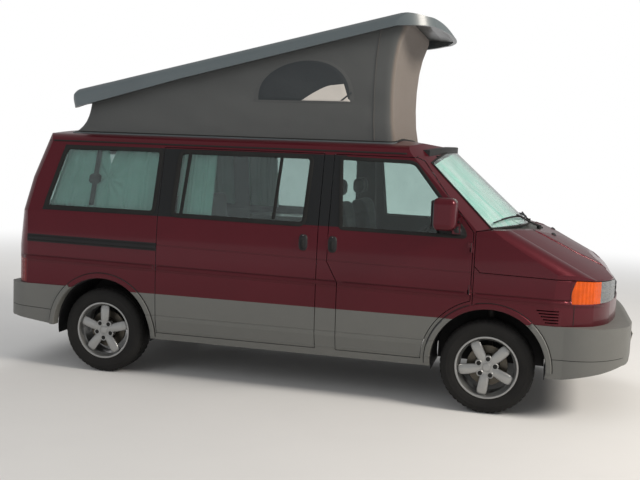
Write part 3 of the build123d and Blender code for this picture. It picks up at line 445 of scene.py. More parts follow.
def piece(name, shape, look, body="root", angle=35.0, slot=None):
    """A visual piece from (verts, faces), riding on a body of the frame."""
    mesh = bpy.data.meshes.new(name)
    mesh.from_pydata([tuple(v) for v in shape[0]], [], shape[1])
    mesh.materials.append(MAT[look])
    build = bmesh.new()
    build.from_mesh(mesh)
    bmesh.ops.remove_doubles(build, verts=build.verts, dist=1e-6)
    bmesh.ops.recalc_face_normals(build, faces=build.faces)
    build.to_mesh(mesh)
    build.free()
    obj = bpy.data.objects.new(name, mesh)
    bpy.context.scene.collection.objects.link(obj)
    mesh.shade_smooth()
    mesh.set_sharp_from_angle(angle=math.radians(angle))
    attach(obj, body)
    return obj


def grid_faces(rows, columns, close_rows=False, close_columns=False):
    """Four-sided faces between rows of points."""
    faces = []
    for i in range(rows if close_rows else rows - 1):
        this, after = i * columns, (i + 1) % rows * columns
        for j in range(columns if close_columns else columns - 1):
            k = (j + 1) % columns
            faces.append((this + j, this + k, after + k, after + j))
    return faces


def dome_faces(rings, around):
    """The faces of rings of points that widen from a closed middle."""
    return grid_faces(rings, around, close_columns=True) + [tuple(range(around))]


def turns(count):
    """Evenly spaced angles once round."""
    return [2.0 * math.pi * i / count for i in range(count)]


def squarish(angle, power):
    """A point of a unit circle drawn out towards a square as the power grows."""
    c, s = math.cos(angle), math.sin(angle)
    scale = (abs(c) ** power + abs(s) ** power) ** (-1.0 / power)
    return c * scale, s * scale


def end_faces(total, sides):
    """The two faces that close a loft of total points, sides to a section."""
    return [tuple(reversed(range(sides))), tuple(range(total - sides, total))]


def join_meshes(parts):
    verts, faces = [], []
    for part_verts, part_faces in parts:
        shift = len(verts)
        verts += part_verts
        faces += [tuple(i + shift for i in face) for face in part_faces]
    return verts, faces


def flipped(verts):
    return [Vector((v[0], -v[1], v[2])) for v in verts]


def mirrored_pair(name, shape, look, bodies=ROOTS, **more):
    """The same piece on the right and the left."""
    verts, faces = shape
    return [piece(f"{name}_right", (verts, faces), look, bodies[0], **more),
            piece(f"{name}_left", (flipped(verts), faces), look, bodies[1], **more)]


def lathe(profile, segments):
    """Turns (radius, y) points about the Y axis."""
    verts = [Vector((radius * math.cos(turn), y, radius * math.sin(turn)))
             for turn in turns(segments) for radius, y in profile]
    return verts, grid_faces(segments, len(profile), close_rows=True, close_columns=True)


def tube(points, radius, sides=10):
    """A round bar through points, closed at both ends."""
    points = [Vector(p) for p in points]
    verts, up = [], Vector((0.13, 0.21, 0.97)).normalized()
    for i, point in enumerate(points):
        ahead = points[min(i + 1, len(points) - 1)] - points[max(i - 1, 0)]
        ahead.normalize()
        across = ahead.cross(up).normalized()
        over = across.cross(ahead)
        verts += [point + radius * (across * math.cos(turn) + over * math.sin(turn))
                  for turn in turns(sides)]
    faces = grid_faces(len(points), sides, close_columns=True)
    return verts, faces + end_faces(len(verts), sides)


def soft_box(low, high, radius, steps=3):
    """A box whose edges are rounded, as verts and faces."""
    build = bmesh.new()
    bmesh.ops.create_cube(build, size=1.0)
    size = [h - l for l, h in zip(low, high)]
    centre = [(h + l) / 2.0 for l, h in zip(low, high)]
    bmesh.ops.scale(build, vec=size, verts=build.verts)
    bmesh.ops.translate(build, vec=centre, verts=build.verts)
    bmesh.ops.bevel(build, geom=build.edges[:], offset=radius, segments=steps,
                    affect="EDGES", profile=0.5)
    build.verts.index_update()
    verts = [v.co.copy() for v in build.verts]
    faces = [tuple(v.index for v in f.verts) for f in build.faces]
    build.free()
    return verts, faces


# Projection of trim onto the body

VIEWS = {
    "side": (Vector((0.0, 1.0, 0.0)), lambda u, v: Vector((u, -0.942, v))),
    "rear": (Vector((1.0, 0.0, 0.0)), lambda u, v: Vector((-4.0, u, v))),
    "front": (Vector((-1.0, 0.0, 0.0)), lambda u, v: Vector((4.0, u, v))),
    "top": (Vector((0.0, 0.0, -1.0)), lambda u, v: Vector((u, v, 3.2))),
}
USUAL = {"side": -0.905, "rear": -2.2, "front": 2.3, "top": 1.85}


def tree_of(names):
    verts, faces = [], []
    for name in names:
        mesh = NODES[name].data
        shift = len(verts)
        verts += [v.co.copy() for v in mesh.vertices]
        faces += [[i + shift for i in p.vertices] for p in mesh.polygons]
    return BVHTree.FromPolygons(verts, faces)


SIDE = tree_of(["side_frame_right", "sliding_door", "door_right", "front_wings",
                "nose_panel", "roof_panel", "bonnet", "door_right_glass", "side_glass"])
BUMPERS = tree_of(["front_bumper", "rear_bumper"])
TAIL = tree_of(["tailgate", "tailgate_glass", "side_frame_right", "side_frame_left",
                "roof_panel"])
SCREEN = tree_of(["windscreen", "cowl_panel", "bonnet"])
ROOF = tree_of(["roof_panel"])
LAMPS = tree_of(["front_lamps", "front_wings"])
LID = tree_of(["bonnet"])


def depth_axis(view):
    """The axis along which a view looks."""
    return max(range(3), key=lambda i: abs(VIEWS[view][0][i]))


def spot(tree, view, u, v, lift=0.0):
    """The outermost surface point seen from one side, lifted off the surface."""
    ray, start = VIEWS[view]
    hit = tree.ray_cast(start(u, v), ray)[0]
    return None if hit is None else hit - ray * lift


def spots(tree, view, pairs, lifts):
    """Surface points, with a missed one taking its depth from the nearest hit."""
    ray, start = VIEWS[view]
    axis = depth_axis(view)
    found = [spot(tree, view, u, v) for u, v in pairs]
    depths = [p[axis] for p in found if p is not None] or [USUAL[view]]
    typical = sorted(depths)[len(depths) // 2]
    result, last = [], None
    for (u, v), point, lift in zip(pairs, found, lifts):
        if point is None or abs(point[axis] - typical) > 0.35:
            point = start(u, v)
            point[axis] = typical if last is None else last
        last = point[axis]
        result.append(point - ray * lift)
    return result


def strip(tree, view, path, half, lift, closed=False, sink=0.004):
    """A raised band along a path, its section a low dome."""
    section = ((-1.0, -sink), (-1.0, lift * 0.6), (-0.7, lift), (0.7, lift),
               (1.0, lift * 0.6), (1.0, -sink))
    verts, count = [], len(path)
    for i, (u, v) in enumerate(path):
        before = path[(i - 1) % count] if closed or i else path[i]
        after = path[(i + 1) % count] if closed or i < count - 1 else path[i]
        along = Vector((after[0] - before[0], after[1] - before[1])).normalized()
        across = Vector((-along[1], along[0]))
        pairs = [(u + across[0] * s * half, v + across[1] * s * half) for s, _ in section]
        verts += spots(tree, view, pairs, [h for _, h in section])
    faces = grid_faces(count, len(section), close_rows=closed, close_columns=True)
    if not closed:
        faces += end_faces(len(verts), len(section))
    return verts, faces


def rounded(points, radius, steps=6):
    """A closed outline with its corners rounded, as evenly usable points."""
    result, count = [], len(points)
    for i, corner in enumerate(points):
        corner = Vector(corner)
        before = Vector(points[i - 1]) - corner
        after = Vector(points[(i + 1) % count]) - corner
        reach = min(radius, before.length / 2.2, after.length / 2.2)
        a, b = corner + before.normalized() * reach, corner + after.normalized() * reach
        for k in range(steps + 1):
            t = k / steps
            result.append(a * (1 - t) ** 2 + corner * 2 * t * (1 - t) + b * t ** 2)
    return [(p[0], p[1]) for p in result]


def resampled(path, step=0.04, closed=False):
    points = list(path) + ([path[0]] if closed else [])
    result = []
    for a, b in zip(points, points[1:]):
        a, b = Vector(a), Vector(b)
        pieces = max(1, int((b - a).length / step))
        result += [tuple(a.lerp(b, k / pieces)) for k in range(pieces)]
    if not closed:
        result.append(tuple(points[-1]))
    return result


def pad_shape(tree, view, centre, size, lift, power, rings=5, around=40):
    """A low domed pod with a rounded outline, lying on the body."""
    ray, start = VIEWS[view]
    axis = depth_axis(view)
    depth = spots(tree, view, [centre], [0.0])[0][axis]
    verts = []
    for ring in range(rings + 1):
        share = ring / rings
        rise = lift * (1.0 - share ** 3) if ring < rings else -0.006
        for angle in turns(around):
            du, dv = squarish(angle, power)
            u = centre[0] + du * max(share, 0.02) * size[0]
            v = centre[1] + dv * max(share, 0.02) * size[1]
            point = spot(tree, view, u, v)
            if point is None or abs(point[axis] - depth) > 0.05:
                point = start(u, v)
                point[axis] = depth
            verts.append(point - ray * rise)
    return verts, dome_faces(rings + 1, around)


def middle_of(points):
    return Vector((sum(p[0] for p in points), sum(p[1] for p in points))) / len(points)


def patch(tree, view, points, lift, rings=5):
    """A flat patch with a given outline, lying on the body."""
    centre = middle_of(points)
    verts = []
    for ring in range(rings + 2):
        share = max(min(ring, rings) / rings, 0.01)
        rise = lift if ring <= rings else -0.004
        pairs = [tuple(centre.lerp(Vector(p), share)) for p in points]
        verts += spots(tree, view, pairs, [rise] * len(pairs))
    return verts, dome_faces(rings + 2, len(points))


# Wheels

def tyre_shape():
    """A turned tyre with tread grooves, shoulder notches and sidewall rings."""
    side = [
        (0.2035, 0.083), (0.21, 0.088), (0.218, 0.096), (0.223, 0.0985),
        (0.23, 0.099), (0.233, 0.1025), (0.238, 0.103), (0.241, 0.1045),
        (0.26, 0.107), (0.274, 0.1068), (0.276, 0.1074), (0.279, 0.1064),
        (0.293, 0.1025), (0.303, 0.0975), (0.311, 0.0925), (0.317, 0.085),
        (0.3215, 0.078), (0.3235, 0.07), (TYRE_R - 0.0005, 0.064),
    ]
    crown = []
    for y in (0.052, 0.017, -0.017, -0.052):
        crown += [(TYRE_R, y + 0.0055), (TYRE_R - 0.0075, y + 0.004),
                  (TYRE_R - 0.0075, y - 0.004), (TYRE_R, y - 0.0055)]
    profile = side + crown + [(r, -y) for r, y in reversed(side)]
    profile += [(0.2035, -0.06), (0.2035, 0.06)]
    verts, faces = lathe(profile, 144)
    for index, vert in enumerate(verts):
        i, (radius, y) = index // len(profile), profile[index % len(profile)]
        if i % 3 == 0 and radius > 0.316 and abs(y) > 0.056:
            vert *= (radius - 0.005) / radius
        elif (i + (y > 0)) % 4 == 0 and radius == TYRE_R and abs(y) < 0.06:
            vert *= (radius - 0.003) / radius
        vert[1] = y
    return verts, faces


def spoke_shape(turn):
    """One broad rounded spoke from the hub out to the rim, as lofted sections."""
    sections = (
        (0.038, 0.026, -0.08, 0.034), (0.056, 0.03, -0.086, 0.036),
        (0.075, 0.033, -0.09, 0.036), (0.105, 0.036, -0.0925, 0.036),
        (0.135, 0.037, -0.0935, 0.034), (0.16, 0.037, -0.093, 0.032),
        (0.178, 0.035, -0.091, 0.03), (0.19, 0.03, -0.086, 0.024),
        (0.1965, 0.02, -0.078, 0.012),
    )
    around, verts = 20, []
    for radius, half, face, depth in sections:
        for c, s in (squarish(angle, 2.3) for angle in turns(around)):
            verts.append(Vector((half * c, face + depth / 2 + s * depth / 2, radius)))
    faces = grid_faces(len(sections), around, close_columns=True)
    faces += end_faces(len(verts), around)
    spin = Matrix.Rotation(turn, 3, "Y")
    return [spin @ v for v in verts], faces


def wheel_shapes(spin):
    """Rim with its spokes, lug bosses, painted shade in their holes, cap, and the brake
    disc.
    """
    lip = [
        (0.205, -0.096), (0.21, -0.099), (0.2165, -0.0985), (0.2188, -0.0955),
        (0.2182, -0.091), (0.212, -0.0885), (0.203, -0.083), (0.2025, 0.083),
        (0.212, 0.088), (0.2188, 0.092), (0.218, 0.0985), (0.206, 0.099),
        (0.1965, 0.09), (0.195, 0.03), (0.185, 0.0000), (0.186, -0.05),
        (0.196, -0.062), (0.199, -0.08), (0.203, -0.09),
    ]
    hub = [(0.0005, -0.081), (0.044, -0.083), (0.06, -0.08), (0.0655, -0.072),
           (0.064, -0.01), (0.0005, -0.01)]
    boss = [(0.016, -0.086), (0.0205, -0.087), (0.024, -0.084), (0.0255, -0.05),
            (0.016, -0.05)]
    # A black plug in each lug hole: painted shade in the recess.
    hole_shade = [(0.0005, -0.086), (0.0168, -0.086), (0.0168, -0.066), (0.0005, -0.066)]
    bolt = [(0.0005, -0.0885), (0.0085, -0.088), (0.0095, -0.0865), (0.0095, -0.06),
            (0.0005, -0.06)]
    cap = [(0.0005, -0.0875), (0.018, -0.087), (0.0265, -0.085), (0.0295, -0.0815),
           (0.0295, -0.076), (0.0005, -0.076)]
    ring = [(0.03, -0.0838), (0.032, -0.0842), (0.0335, -0.0832), (0.0335, -0.079),
            (0.03, -0.079)]
    disc = [(0.07, -0.0105), (0.14, -0.0105), (0.1415, -0.009), (0.1415, 0.006),
            (0.07, 0.006)]
    back = [(0.062, -0.02), (0.086, -0.022), (0.09, -0.01), (0.09, 0.01), (0.062, 0.01)]
    metal, dark = [lathe(lip, 96), lathe(hub, 60)], []
    for turn in turns(5):
        metal.append(spoke_shape(spin + turn))
        lug = spin + turn + math.pi / 5
        place = Matrix.Translation(Vector((math.sin(lug), 0, math.cos(lug))) * 0.06)
        for store, shape, sides in ((metal, boss, 28), (dark, hole_shade, 20), (dark, bolt, 6)):
            verts, faces = lathe(shape, sides)
            store.append(([place @ v for v in verts], faces))
    return {
        "rim": (join_meshes(metal), "alloy"),
        "bolts": (join_meshes(dark), "rubber"),
        "cap": (join_meshes([lathe(cap, 48), lathe(ring, 48)]), "alloy"),
        "disc": (join_meshes([lathe(disc, 72), lathe(back, 48)]), "disc"),
    }


def make_wheels():
    tyre = tyre_shape()
    for end, axle in (("front", FRONT_AXLE), ("rear", REAR_AXLE)):
        shapes = wheel_shapes(WHEEL_SPIN[end])
        shapes["tyre"] = (tyre, "tyre")
        for side, sign in (("right", 1), ("left", -1)):
            centre = Vector((axle, -TRACKS[end] * sign, TYRE_R))
            for part, ((verts, faces), look) in shapes.items():
                placed = [Vector((v[0], v[1] * sign, v[2])) + centre for v in verts]
                obj = piece(f"{part}_{end}_{side}_look", (placed, faces), look,
                            f"wheel_{end}_{side}",
                            slot="tyre" if part == "tyre" else "alloy")
                if part in ("tyre", "rim"):
                    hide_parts(f"{part}_{end}_{side}")


# Trim

WINDOWS = (
    ("quarter", ((-2.021, 1.258), (-1.108, 1.256), (-1.092, 1.727), (-1.892, 1.722)),
     ROOTS, 0.045, 0.016),
    ("middle", ((-0.958, 1.25), (0.064, 1.238), (0.084, 1.722), (-0.938, 1.72)),
     ROOTS, 0.045, 0.016),
    ("door", ((0.335, 1.228), (1.213, 1.219), (1.2, 1.262), (0.84, 1.697),
              (0.8, 1.712), (0.298, 1.722)), DOORS, 0.02, 0.013),
)
GATE_WINDOW = ((-0.64, 1.235), (0.64, 1.235), (0.56, 1.69), (-0.56, 1.69))


def window_seal(tree, view, points, radius, half):
    path = resampled(rounded(points, radius), 0.05, closed=True)
    return strip(tree, view, path, half, 0.004, closed=True, sink=0.008)


def make_window_frames():
    for name, points, bodies, radius, half in WINDOWS:
        shape = window_seal(SIDE, "side", points, radius, half)
        mirrored_pair(f"{name}_seal", shape, "rubber", bodies)
    for name, low, high, half in (("rear", -0.889, -0.861, 0.012),
                                  ("front", -0.169, -0.146, 0.011)):
        bar = strip(SIDE, "side", resampled([(low, 1.262), (high, 1.706)], 0.1), half,
                    0.003, sink=0.012)
        mirrored_pair(f"slider_bar_{name}", bar, "rubber")
    piece("tailgate_seal", window_seal(TAIL, "rear", GATE_WINDOW, 0.06, 0.016), "rubber",
          "tailgate")


def make_gutters():
    path = resampled([(-2.06, 1.772), (0.76, 1.77), (0.84, 1.754)], 0.05)
    mirrored_pair("gutter", strip(SIDE, "side", path, 0.0055, 0.004), "rubber")


def rake_axes(rake):
    """Out of a raked plane and up along it."""
    return (Vector((math.sin(rake), 0.0, math.cos(rake))),
            Vector((-math.cos(rake), 0.0, math.sin(rake))))


SCREEN_NORMAL, SCREEN_UP = rake_axes(RAKE)


def screen_sag(across):
    """How far the curved windscreen falls back beside its middle."""
    return SCREEN_R - math.sqrt(SCREEN_R ** 2 - across ** 2)


def on_rake(across, along, lift):
    """A point on the windscreen from its own width and height."""
    return (SCREEN_MIDDLE + SCREEN_UP * along + Vector((0.0, across, 0.0))
            - SCREEN_NORMAL * (screen_sag(across) - lift))


def make_screen_seal():
    low = [(0.765 * k / 12, -0.425 + 0.17 * (k / 12) ** 2) for k in range(-12, 13)]
    high = [(0.69 * k / 10, 0.382 - 0.01 * (k / 10) ** 2) for k in range(10, -11, -1)]
    line = resampled(low + high, 0.06, closed=True)
    seal = tube([on_rake(a, b, 0.001) for a, b in line + line[:1]], 0.008, 8)
    piece("screen_seal", seal, "rubber")


def make_arch_lips():
    """A raised lip round each arch, the part beside a bumper lying on the bumper."""
    radius = ARCH_R + 0.020
    split = math.asin((0.655 - ARCH_Z) / radius)
    low = -0.06
    runs = (("front", FRONT_AXLE, SIDE, split, math.pi - low, "paint"),
            ("front_bumper", FRONT_AXLE, BUMPERS, low + 0.05, split - 0.01, "bumper"),
            ("rear", REAR_AXLE, SIDE, low, math.pi - split, "paint"),
            ("rear_bumper", REAR_AXLE, BUMPERS, math.pi - split + 0.01, math.pi - 0.02,
             "bumper"))
    for name, axle, tree, first, last, key in runs:
        count = max(6, int((last - first) / 0.06))
        angles = [first + (last - first) * k / count for k in range(count + 1)]
        for part, r, half, lift, look in (
                ("lip", radius, 0.019, 0.011, key),
                ("line", radius + 0.022, 0.003, 0.003, "rubber")):
            path = [(axle + r * math.cos(a), ARCH_Z + r * math.sin(a)) for a in angles]
            lip = strip(tree, "side", path, half, lift)
            mirrored_pair(f"arch_{part}_{name}", lip, look)


def make_arch_liners():
    """Dark liners that close each arch from the tyre to the body down to the sill."""
    for end, axle in (("front", FRONT_AXLE), ("rear", REAR_AXLE)):
        verts, count = [], 60
        for k in range(count + 1):
            turn = -0.17 + (math.pi + 0.34) * k / count
            for r, y in ((0.394, -0.862), (0.394, -0.452),
                         (0.39, -0.452), (0.39, -0.862)):
                verts.append(Vector((axle + r * math.cos(turn), y,
                                     ARCH_Z + r * math.sin(turn))))
        faces = grid_faces(count + 1, 4, close_columns=True)
        faces += end_faces(len(verts), 4)
        mirrored_pair(f"arch_liner_{end}", (verts, faces), "black")
        # A black wall at the inner edge of each arch, low down: painted shade under the
        # van.
        shade_wall = soft_box((axle - 0.385, -0.452, 0.275), (axle + 0.385, -0.446, 0.425),
                        0.002, 1)
        mirrored_pair(f"arch_wall_{end}", shade_wall, "black")


def make_handles():
    """A dish, a pod, a flap and a lock on the front doors and the sliding door."""
    parts = (("dish", 0.0, 0.0, (0.046, 0.078), 0.003, 3.6, "paint"),
             ("pod", 0.0, 0.0, (0.037, 0.066), 0.016, 3.2, "black"),
             ("flap", -0.004, -0.008, (0.019, 0.048), 0.022, 3.0, "rubber"),
             ("key", 0.002, 0.052, (0.007, 0.007), 0.024, 2.0, "chrome"))
    for name, x, z in (("slider_handle", 0.068, 1.111), ("door_handle", 0.284, 1.11)):
        for part, dx, dz, size, lift, power, look in parts:
            shape = pad_shape(SIDE, "side", (x + dx, z + dz), size, lift, power)
            if name == "door_handle":
                mirrored_pair(f"{name}_{part}", shape, look, DOORS)
            else:
                piece(f"{name}_{part}", shape, look)


def make_slide_rail():
    path = resampled([(-2.155, 1.014), (-1.073, 1.005)], 0.05)
    piece("slide_rail", strip(SIDE, "side", path, 0.029, 0.006), "black")
    for i, off in enumerate((0.017, -0.017)):
        edge = resampled([(-2.15, 1.014 + off), (-1.078, 1.005 + off)], 0.05)
        piece(f"slide_rail_edge_{i}", strip(SIDE, "side", edge, 0.003, 0.011), "rubber")


def make_swage_lines():
    """The low ridge pressed along each side, from the tail to the headlamps."""
    for name, rear, front, bodies in (
            ("tail", -2.2, -1.095, ROOTS), ("middle", -1.055, 0.325, ROOTS),
            ("wing", 1.3, 1.925, ROOTS), ("door", 0.365, 1.225, DOORS)):
        path = resampled([(x, SWAGE_Z - SWAGE_FALL * x) for x in (rear, front)], 0.04)
        shape = strip(SIDE, "side", path, SWAGE_HALF, 0.0035, sink=0.001)
        mirrored_pair(f"swage_{name}", shape, "paint", bodies, angle=89)


def make_bumper_trim():
    for name, path in (("front", [(1.815, 0.43), (2.1, 0.436), (2.3, 0.446)]),
                       ("rear", [(-1.93, 0.462), (-2.1, 0.47), (-2.3, 0.48)])):
        shape = strip(BUMPERS, "side", resampled(path, 0.02), 0.002, 0.0008)
        mirrored_pair(f"bumper_line_{name}", shape, "rubber", slot="bumper_grey")


def make_plates():
    """Blank plates, leaning as the body does behind them."""
    verts, faces = soft_box((-0.003, -0.26, 0.918), (0.003, 0.26, 1.042), 0.0025)
    for name, tree, view, body, low in (
            ("plate_rear", TAIL, "rear", "tailgate", 0.93),
            ("plate_front", BUMPERS, "front", "root", 0.43)):
        foot, top = (spot(tree, view, 0.0, z) for z in (low, low + 0.1))
        lean = math.atan2(top[0] - foot[0], 0.1)
        centre = (top + foot) / 2 - VIEWS[view][0] * 0.002
        turn = Matrix.Rotation(lean, 3, "Y")
        moved = [centre + turn @ (v - Vector((0, 0, 0.98))) for v in verts]
        piece(name, (moved, faces), "plate", body)


def make_lamps_trim():
    """The painted corner beside each headlamp, its seal and a seam below it."""
    edge = [(1.96, 0.965), (1.948, 0.955), (1.938, 0.925), (1.931, 0.88),
            (1.928, 0.835), (1.93, 0.816)]
    cover = [(1.926, 0.966), (1.96, 0.966)] + edge[1:] + [(1.938, 0.806), (1.926, 0.806)]
    mirrored_pair("lamp_corner", patch(LAMPS, "side", resampled(cover, 0.02, closed=True),
                                       0.0015, 3), "paint")
    path = resampled(edge + [(1.938, 0.807)], 0.02)
    mirrored_pair("lamp_seal", strip(LAMPS, "side", path, 0.003, 0.002), "rubber")
    path = resampled([(1.955, 0.664), (1.955, 0.802)], 0.03)
    mirrored_pair("wing_seam", strip(SIDE, "side", path, 0.0025, 0.0012), "rubber")


def make_wipers():
    """Two arms from the cowl with blades along the foot of the windscreen."""
    for name, pivot, heel, toe in (
            ("wiper_right", (1.69, -0.1), (-0.7, -0.235), (-0.06, -0.372)),
            ("wiper_left", (1.6, 0.44), (-0.03, -0.392), (0.52, -0.3))):
        foot = spots(SCREEN, "top", [pivot], [0.0])[0]
        blade = [on_rake(heel[0] + (toe[0] - heel[0]) * k / 12,
                         heel[1] + (toe[1] - heel[1]) * k / 12, 0.01) for k in range(13)]
        middle = blade[7] + Vector((0.01, 0, 0.016))
        bend = foot.lerp(middle, 0.25) + Vector((0, 0, 0.012))
        arm = tube([foot + Vector((0, 0, 0.022)), bend, middle], 0.0065)
        spine = [p + Vector((0.004, 0, 0.006)) for p in blade[2:11]]
        boss = tube([foot - Vector((0, 0, 0.02)), foot + Vector((0, 0, 0.03))], 0.017, 20)
        shape = join_meshes([arm, tube(blade, 0.005, 8), tube(spine, 0.005, 8), boss])
        piece(name, shape, "black")
    high = spot(TAIL, "rear", 0.0, 1.232, 0.018)
    low = spot(TAIL, "rear", 0.0, 1.18, 0.016)
    blade = [spot(TAIL, "rear", -0.02 - 0.4 * k / 8, 1.262 + 0.01 * k / 8, 0.012)
             for k in range(9)]
    parts = [tube([low, high, blade[4] + Vector((-0.012, 0, -0.004))], 0.006),
             tube(blade, 0.0045, 8),
             tube([low + Vector((0.02, 0, 0)), low - Vector((0.012, 0, 0))], 0.017, 20)]
    piece("wiper_rear", join_meshes(parts), "black", "tailgate")


def make_mirror_glass():
    glass = soft_box((0.992, -1.106, 1.296), (1.001, -0.972, 1.456), 0.004)
    edge = soft_box((0.994, -1.116, 1.286), (1.004, -0.962, 1.466), 0.006)
    outline = [(1.03, 1.238), (1.213, 1.228), (1.2, 1.262), (1.1, 1.386),
               (1.078, 1.392), (1.062, 1.38)]
    corner = patch(SIDE, "side", resampled(outline, 0.03, closed=True), 0.004, 4)
    for part, shape, look in (("glass", glass, "mirror"), ("edge", edge, "black"),
                              ("corner", corner, "black")):
        mirrored_pair(f"mirror_{part}", shape, look, DOORS)


def make_bonnet_details():
    """Two low ridges along the bonnet and the two washer jets."""
    ridges, jets = [], []
    for sign in (-1, 1):
        line = resampled([(1.66, sign * 0.48), (1.95, sign * 0.43), (2.16, sign * 0.35)],
                         0.03)
        ridges.append(strip(LID, "top", line, 0.04, 0.005, sink=0.001))
        jets.append(pad_shape(LID, "top", (1.8, sign * 0.3), (0.02, 0.038), 0.01, 3.0))
    piece("bonnet_ridges", join_meshes(ridges), "paint", "bonnet", angle=89)
    piece("washer_jets", join_meshes(jets), "black", "bonnet")


def make_gate_details():
    handle = pad_shape(TAIL, "rear", (0.0, 1.13), (0.105, 0.026), 0.02, 4.0)
    piece("gate_handle", handle, "black", "tailgate")
    for side, y in (("right", -0.73), ("left", 0.73)):
        path = resampled([(y, 0.672), (y, 0.845)], 0.05)
        piece(f"tail_lamp_edge_{side}", strip(TAIL, "rear", path, 0.004, 0.002), "rubber")


make_wheels()
make_window_frames()
make_gutters()
make_screen_seal()
make_arch_lips()
make_arch_liners()
make_handles()
make_slide_rail()
make_swage_lines()
make_bumper_trim()
make_plates()
make_lamps_trim()
make_wipers()
make_mirror_glass()
make_bonnet_details()
make_gate_details()


# Canvas

SHELL_IN = tree_of(["poptop_shell"])
TENT_REAR, TENT_FRONT, TENT_SIDE, TENT_ROUND = -1.928, 0.646, 0.616, 0.060


def shell_z(x, above):
    return SHELL_REAR[1] + (x - SHELL_REAR[0]) * math.tan(SHELL_TILT) + above


def roof_z(x, y):
    foot = spot(ROOF, "top", x, y)
    return foot[2] if foot else 1.86


def outward(foot, at):
    """Straight out of the canvas wall that stands on a foot point."""
    if abs(foot[1]) < TENT_SIDE - TENT_ROUND:
        return Vector((math.copysign(1.0, at[0]), 0, 0))
    return Vector((0, math.copysign(1.0, at[1]), 0))


def perimeter(count):
    """Points round the tent's foot, from the rear right corner, and the foot's length."""
    corners = ((TENT_FRONT, -TENT_SIDE, -90), (TENT_FRONT, TENT_SIDE, 0),
               (TENT_REAR, TENT_SIDE, 90), (TENT_REAR, -TENT_SIDE, 180))
    r, path = TENT_ROUND, []
    for cx, cy, first in corners:
        centre = Vector((cx - math.copysign(r, cx), cy - math.copysign(r, cy)))
        for k in range(7):
            turn = math.radians(first + 90.0 * k / 6)
            path.append(centre + r * Vector((math.cos(turn), math.sin(turn))))
    path = path[-1:] + path[:-1]
    lengths = [0.0]
    loop = path + [path[0]]
    for a, b in zip(loop, loop[1:]):
        lengths.append(lengths[-1] + (b - a).length)
    total, result, index = lengths[-1], [], 0
    for k in range(count):
        want = total * k / count
        while lengths[index + 1] < want:
            index += 1
        share = (want - lengths[index]) / (lengths[index + 1] - lengths[index])
        result.append(loop[index].lerp(loop[index + 1], share))
    return result, total


FRONT_LEAN = ((1.865, 0.0), (2.000, -0.024), (2.15, -0.034), (2.3, -0.033),
              (2.45, -0.02), (2.56, 0.0), (2.7, 0.05), (3.000, 0.052))
REAR_LEAN = ((1.862, 0.0), (1.895, 0.038), (1.93, 0.066), (1.975, 0.09),
             (2.02, 0.106), (2.075, 0.118), (3.000, 0.12))


def read_curve(curve, z):
    if z <= curve[0][0]:
        return curve[0][1]
    for (z0, x0), (z1, x1) in zip(curve, curve[1:]):
        if z <= z1:
            return x0 + (x1 - x0) * (z - z0) / (z1 - z0)
    return curve[-1][1]


def tent_point(base, share):
    """A canvas point over a foot point; the side walls bow in and the ends lean."""
    x, y = base
    front = max(0.0, (x - TENT_FRONT + 0.3) / 0.3)
    rear = max(0.0, (TENT_REAR + 0.3 - x) / 0.3)
    side = max(0.0, (abs(y) - TENT_SIDE + 0.05) / 0.05)
    low = roof_z(x, y) + 0.002
    high = shell_z(x, 0.05)
    for _ in range(2):
        roof = SHELL_IN.ray_cast(Vector((x, y, low + 0.05)), Vector((0, 0, 1)))[0]
        high = max(roof[2] - 0.003 if roof else high, low + 0.02)
        z = low + (high - low) * share
        x = base[0] + front * read_curve(FRONT_LEAN, z) + rear * read_curve(REAR_LEAN, z)
    y -= math.copysign(side * 0.012 * math.sin(math.pi * share), y)
    return Vector((x, y, z))


def creased(point, outward, share):
    """Folds that run up from the corners and hang under the shell."""
    x, y, z = point
    soft = noise.noise(Vector((x * 1.7, y * 1.7, z * 2.6)))
    fold = noise.noise(Vector((x * 2.2 + z * 6.0, y * 2.2, z * 1.2 - x * 1.0)))
    fine = noise.noise(Vector((x * 9.0 + z * 5.0, y * 9.0, z * 7.0)))
    ease = min(1.0, share * 8.0, (1.0 - share) * 8.0)
    return point + outward * ease * (-0.004 + 0.008 * soft + 0.007 * fold + 0.0018 * fine)


def make_tent():
    columns, rows = 300, 44
    base, total = perimeter(columns)
    verts = []
    for share in (j / (rows - 1) for j in range(rows)):
        for point in base:
            at = tent_point(point, share)
            verts.append(creased(at, outward(point, at), share))
    faces = grid_faces(rows, columns, close_columns=True)
    tent = piece("tent_canvas", (verts, faces), "canvas", angle=60)
    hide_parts("tent")
    return tent


def tent_spot(x, z, lift):
    """A point on the right canvas wall at x and height z."""
    base = (x, -TENT_SIDE)
    low, high = tent_point(base, 0.0)[2], tent_point(base, 1.0)[2]
    share = (z - low) / (high - low)
    at = tent_point(base, share)
    return creased(at, Vector((0, -1, 0)), share) + Vector((0, -lift, 0))


def wall_patch(name, outline, look, lift, rings=9):
    """A patch sewn to the canvas walls, on both sides, from an outline in x and z."""
    centre = middle_of(outline)
    verts = []
    for ring in range(rings + 1):
        for point in outline:
            at = centre.lerp(Vector(point), max(ring / rings, 0.01))
            verts.append(tent_spot(at[0], at[1], lift if ring < rings else -0.004))
    shape = (verts, dome_faces(rings + 1, len(outline)))
    return mirrored_pair(name, shape, look, angle=60)


def arc_outline(x0, x1, z0, rise, count=40):
    """A half-round window: flat foot with an arch over it."""
    points = [(x0 + (x1 - x0) * k / 14, z0) for k in range(15)]
    mid, half = (x0 + x1) / 2, (x1 - x0) / 2
    for turn in (math.pi * k / count for k in range(1, count)):
        c, s = math.cos(turn), math.sin(turn)
        points.append((mid + half * c, z0 + rise * s ** 0.8 * (1 + 0.1 * c)))
    return points


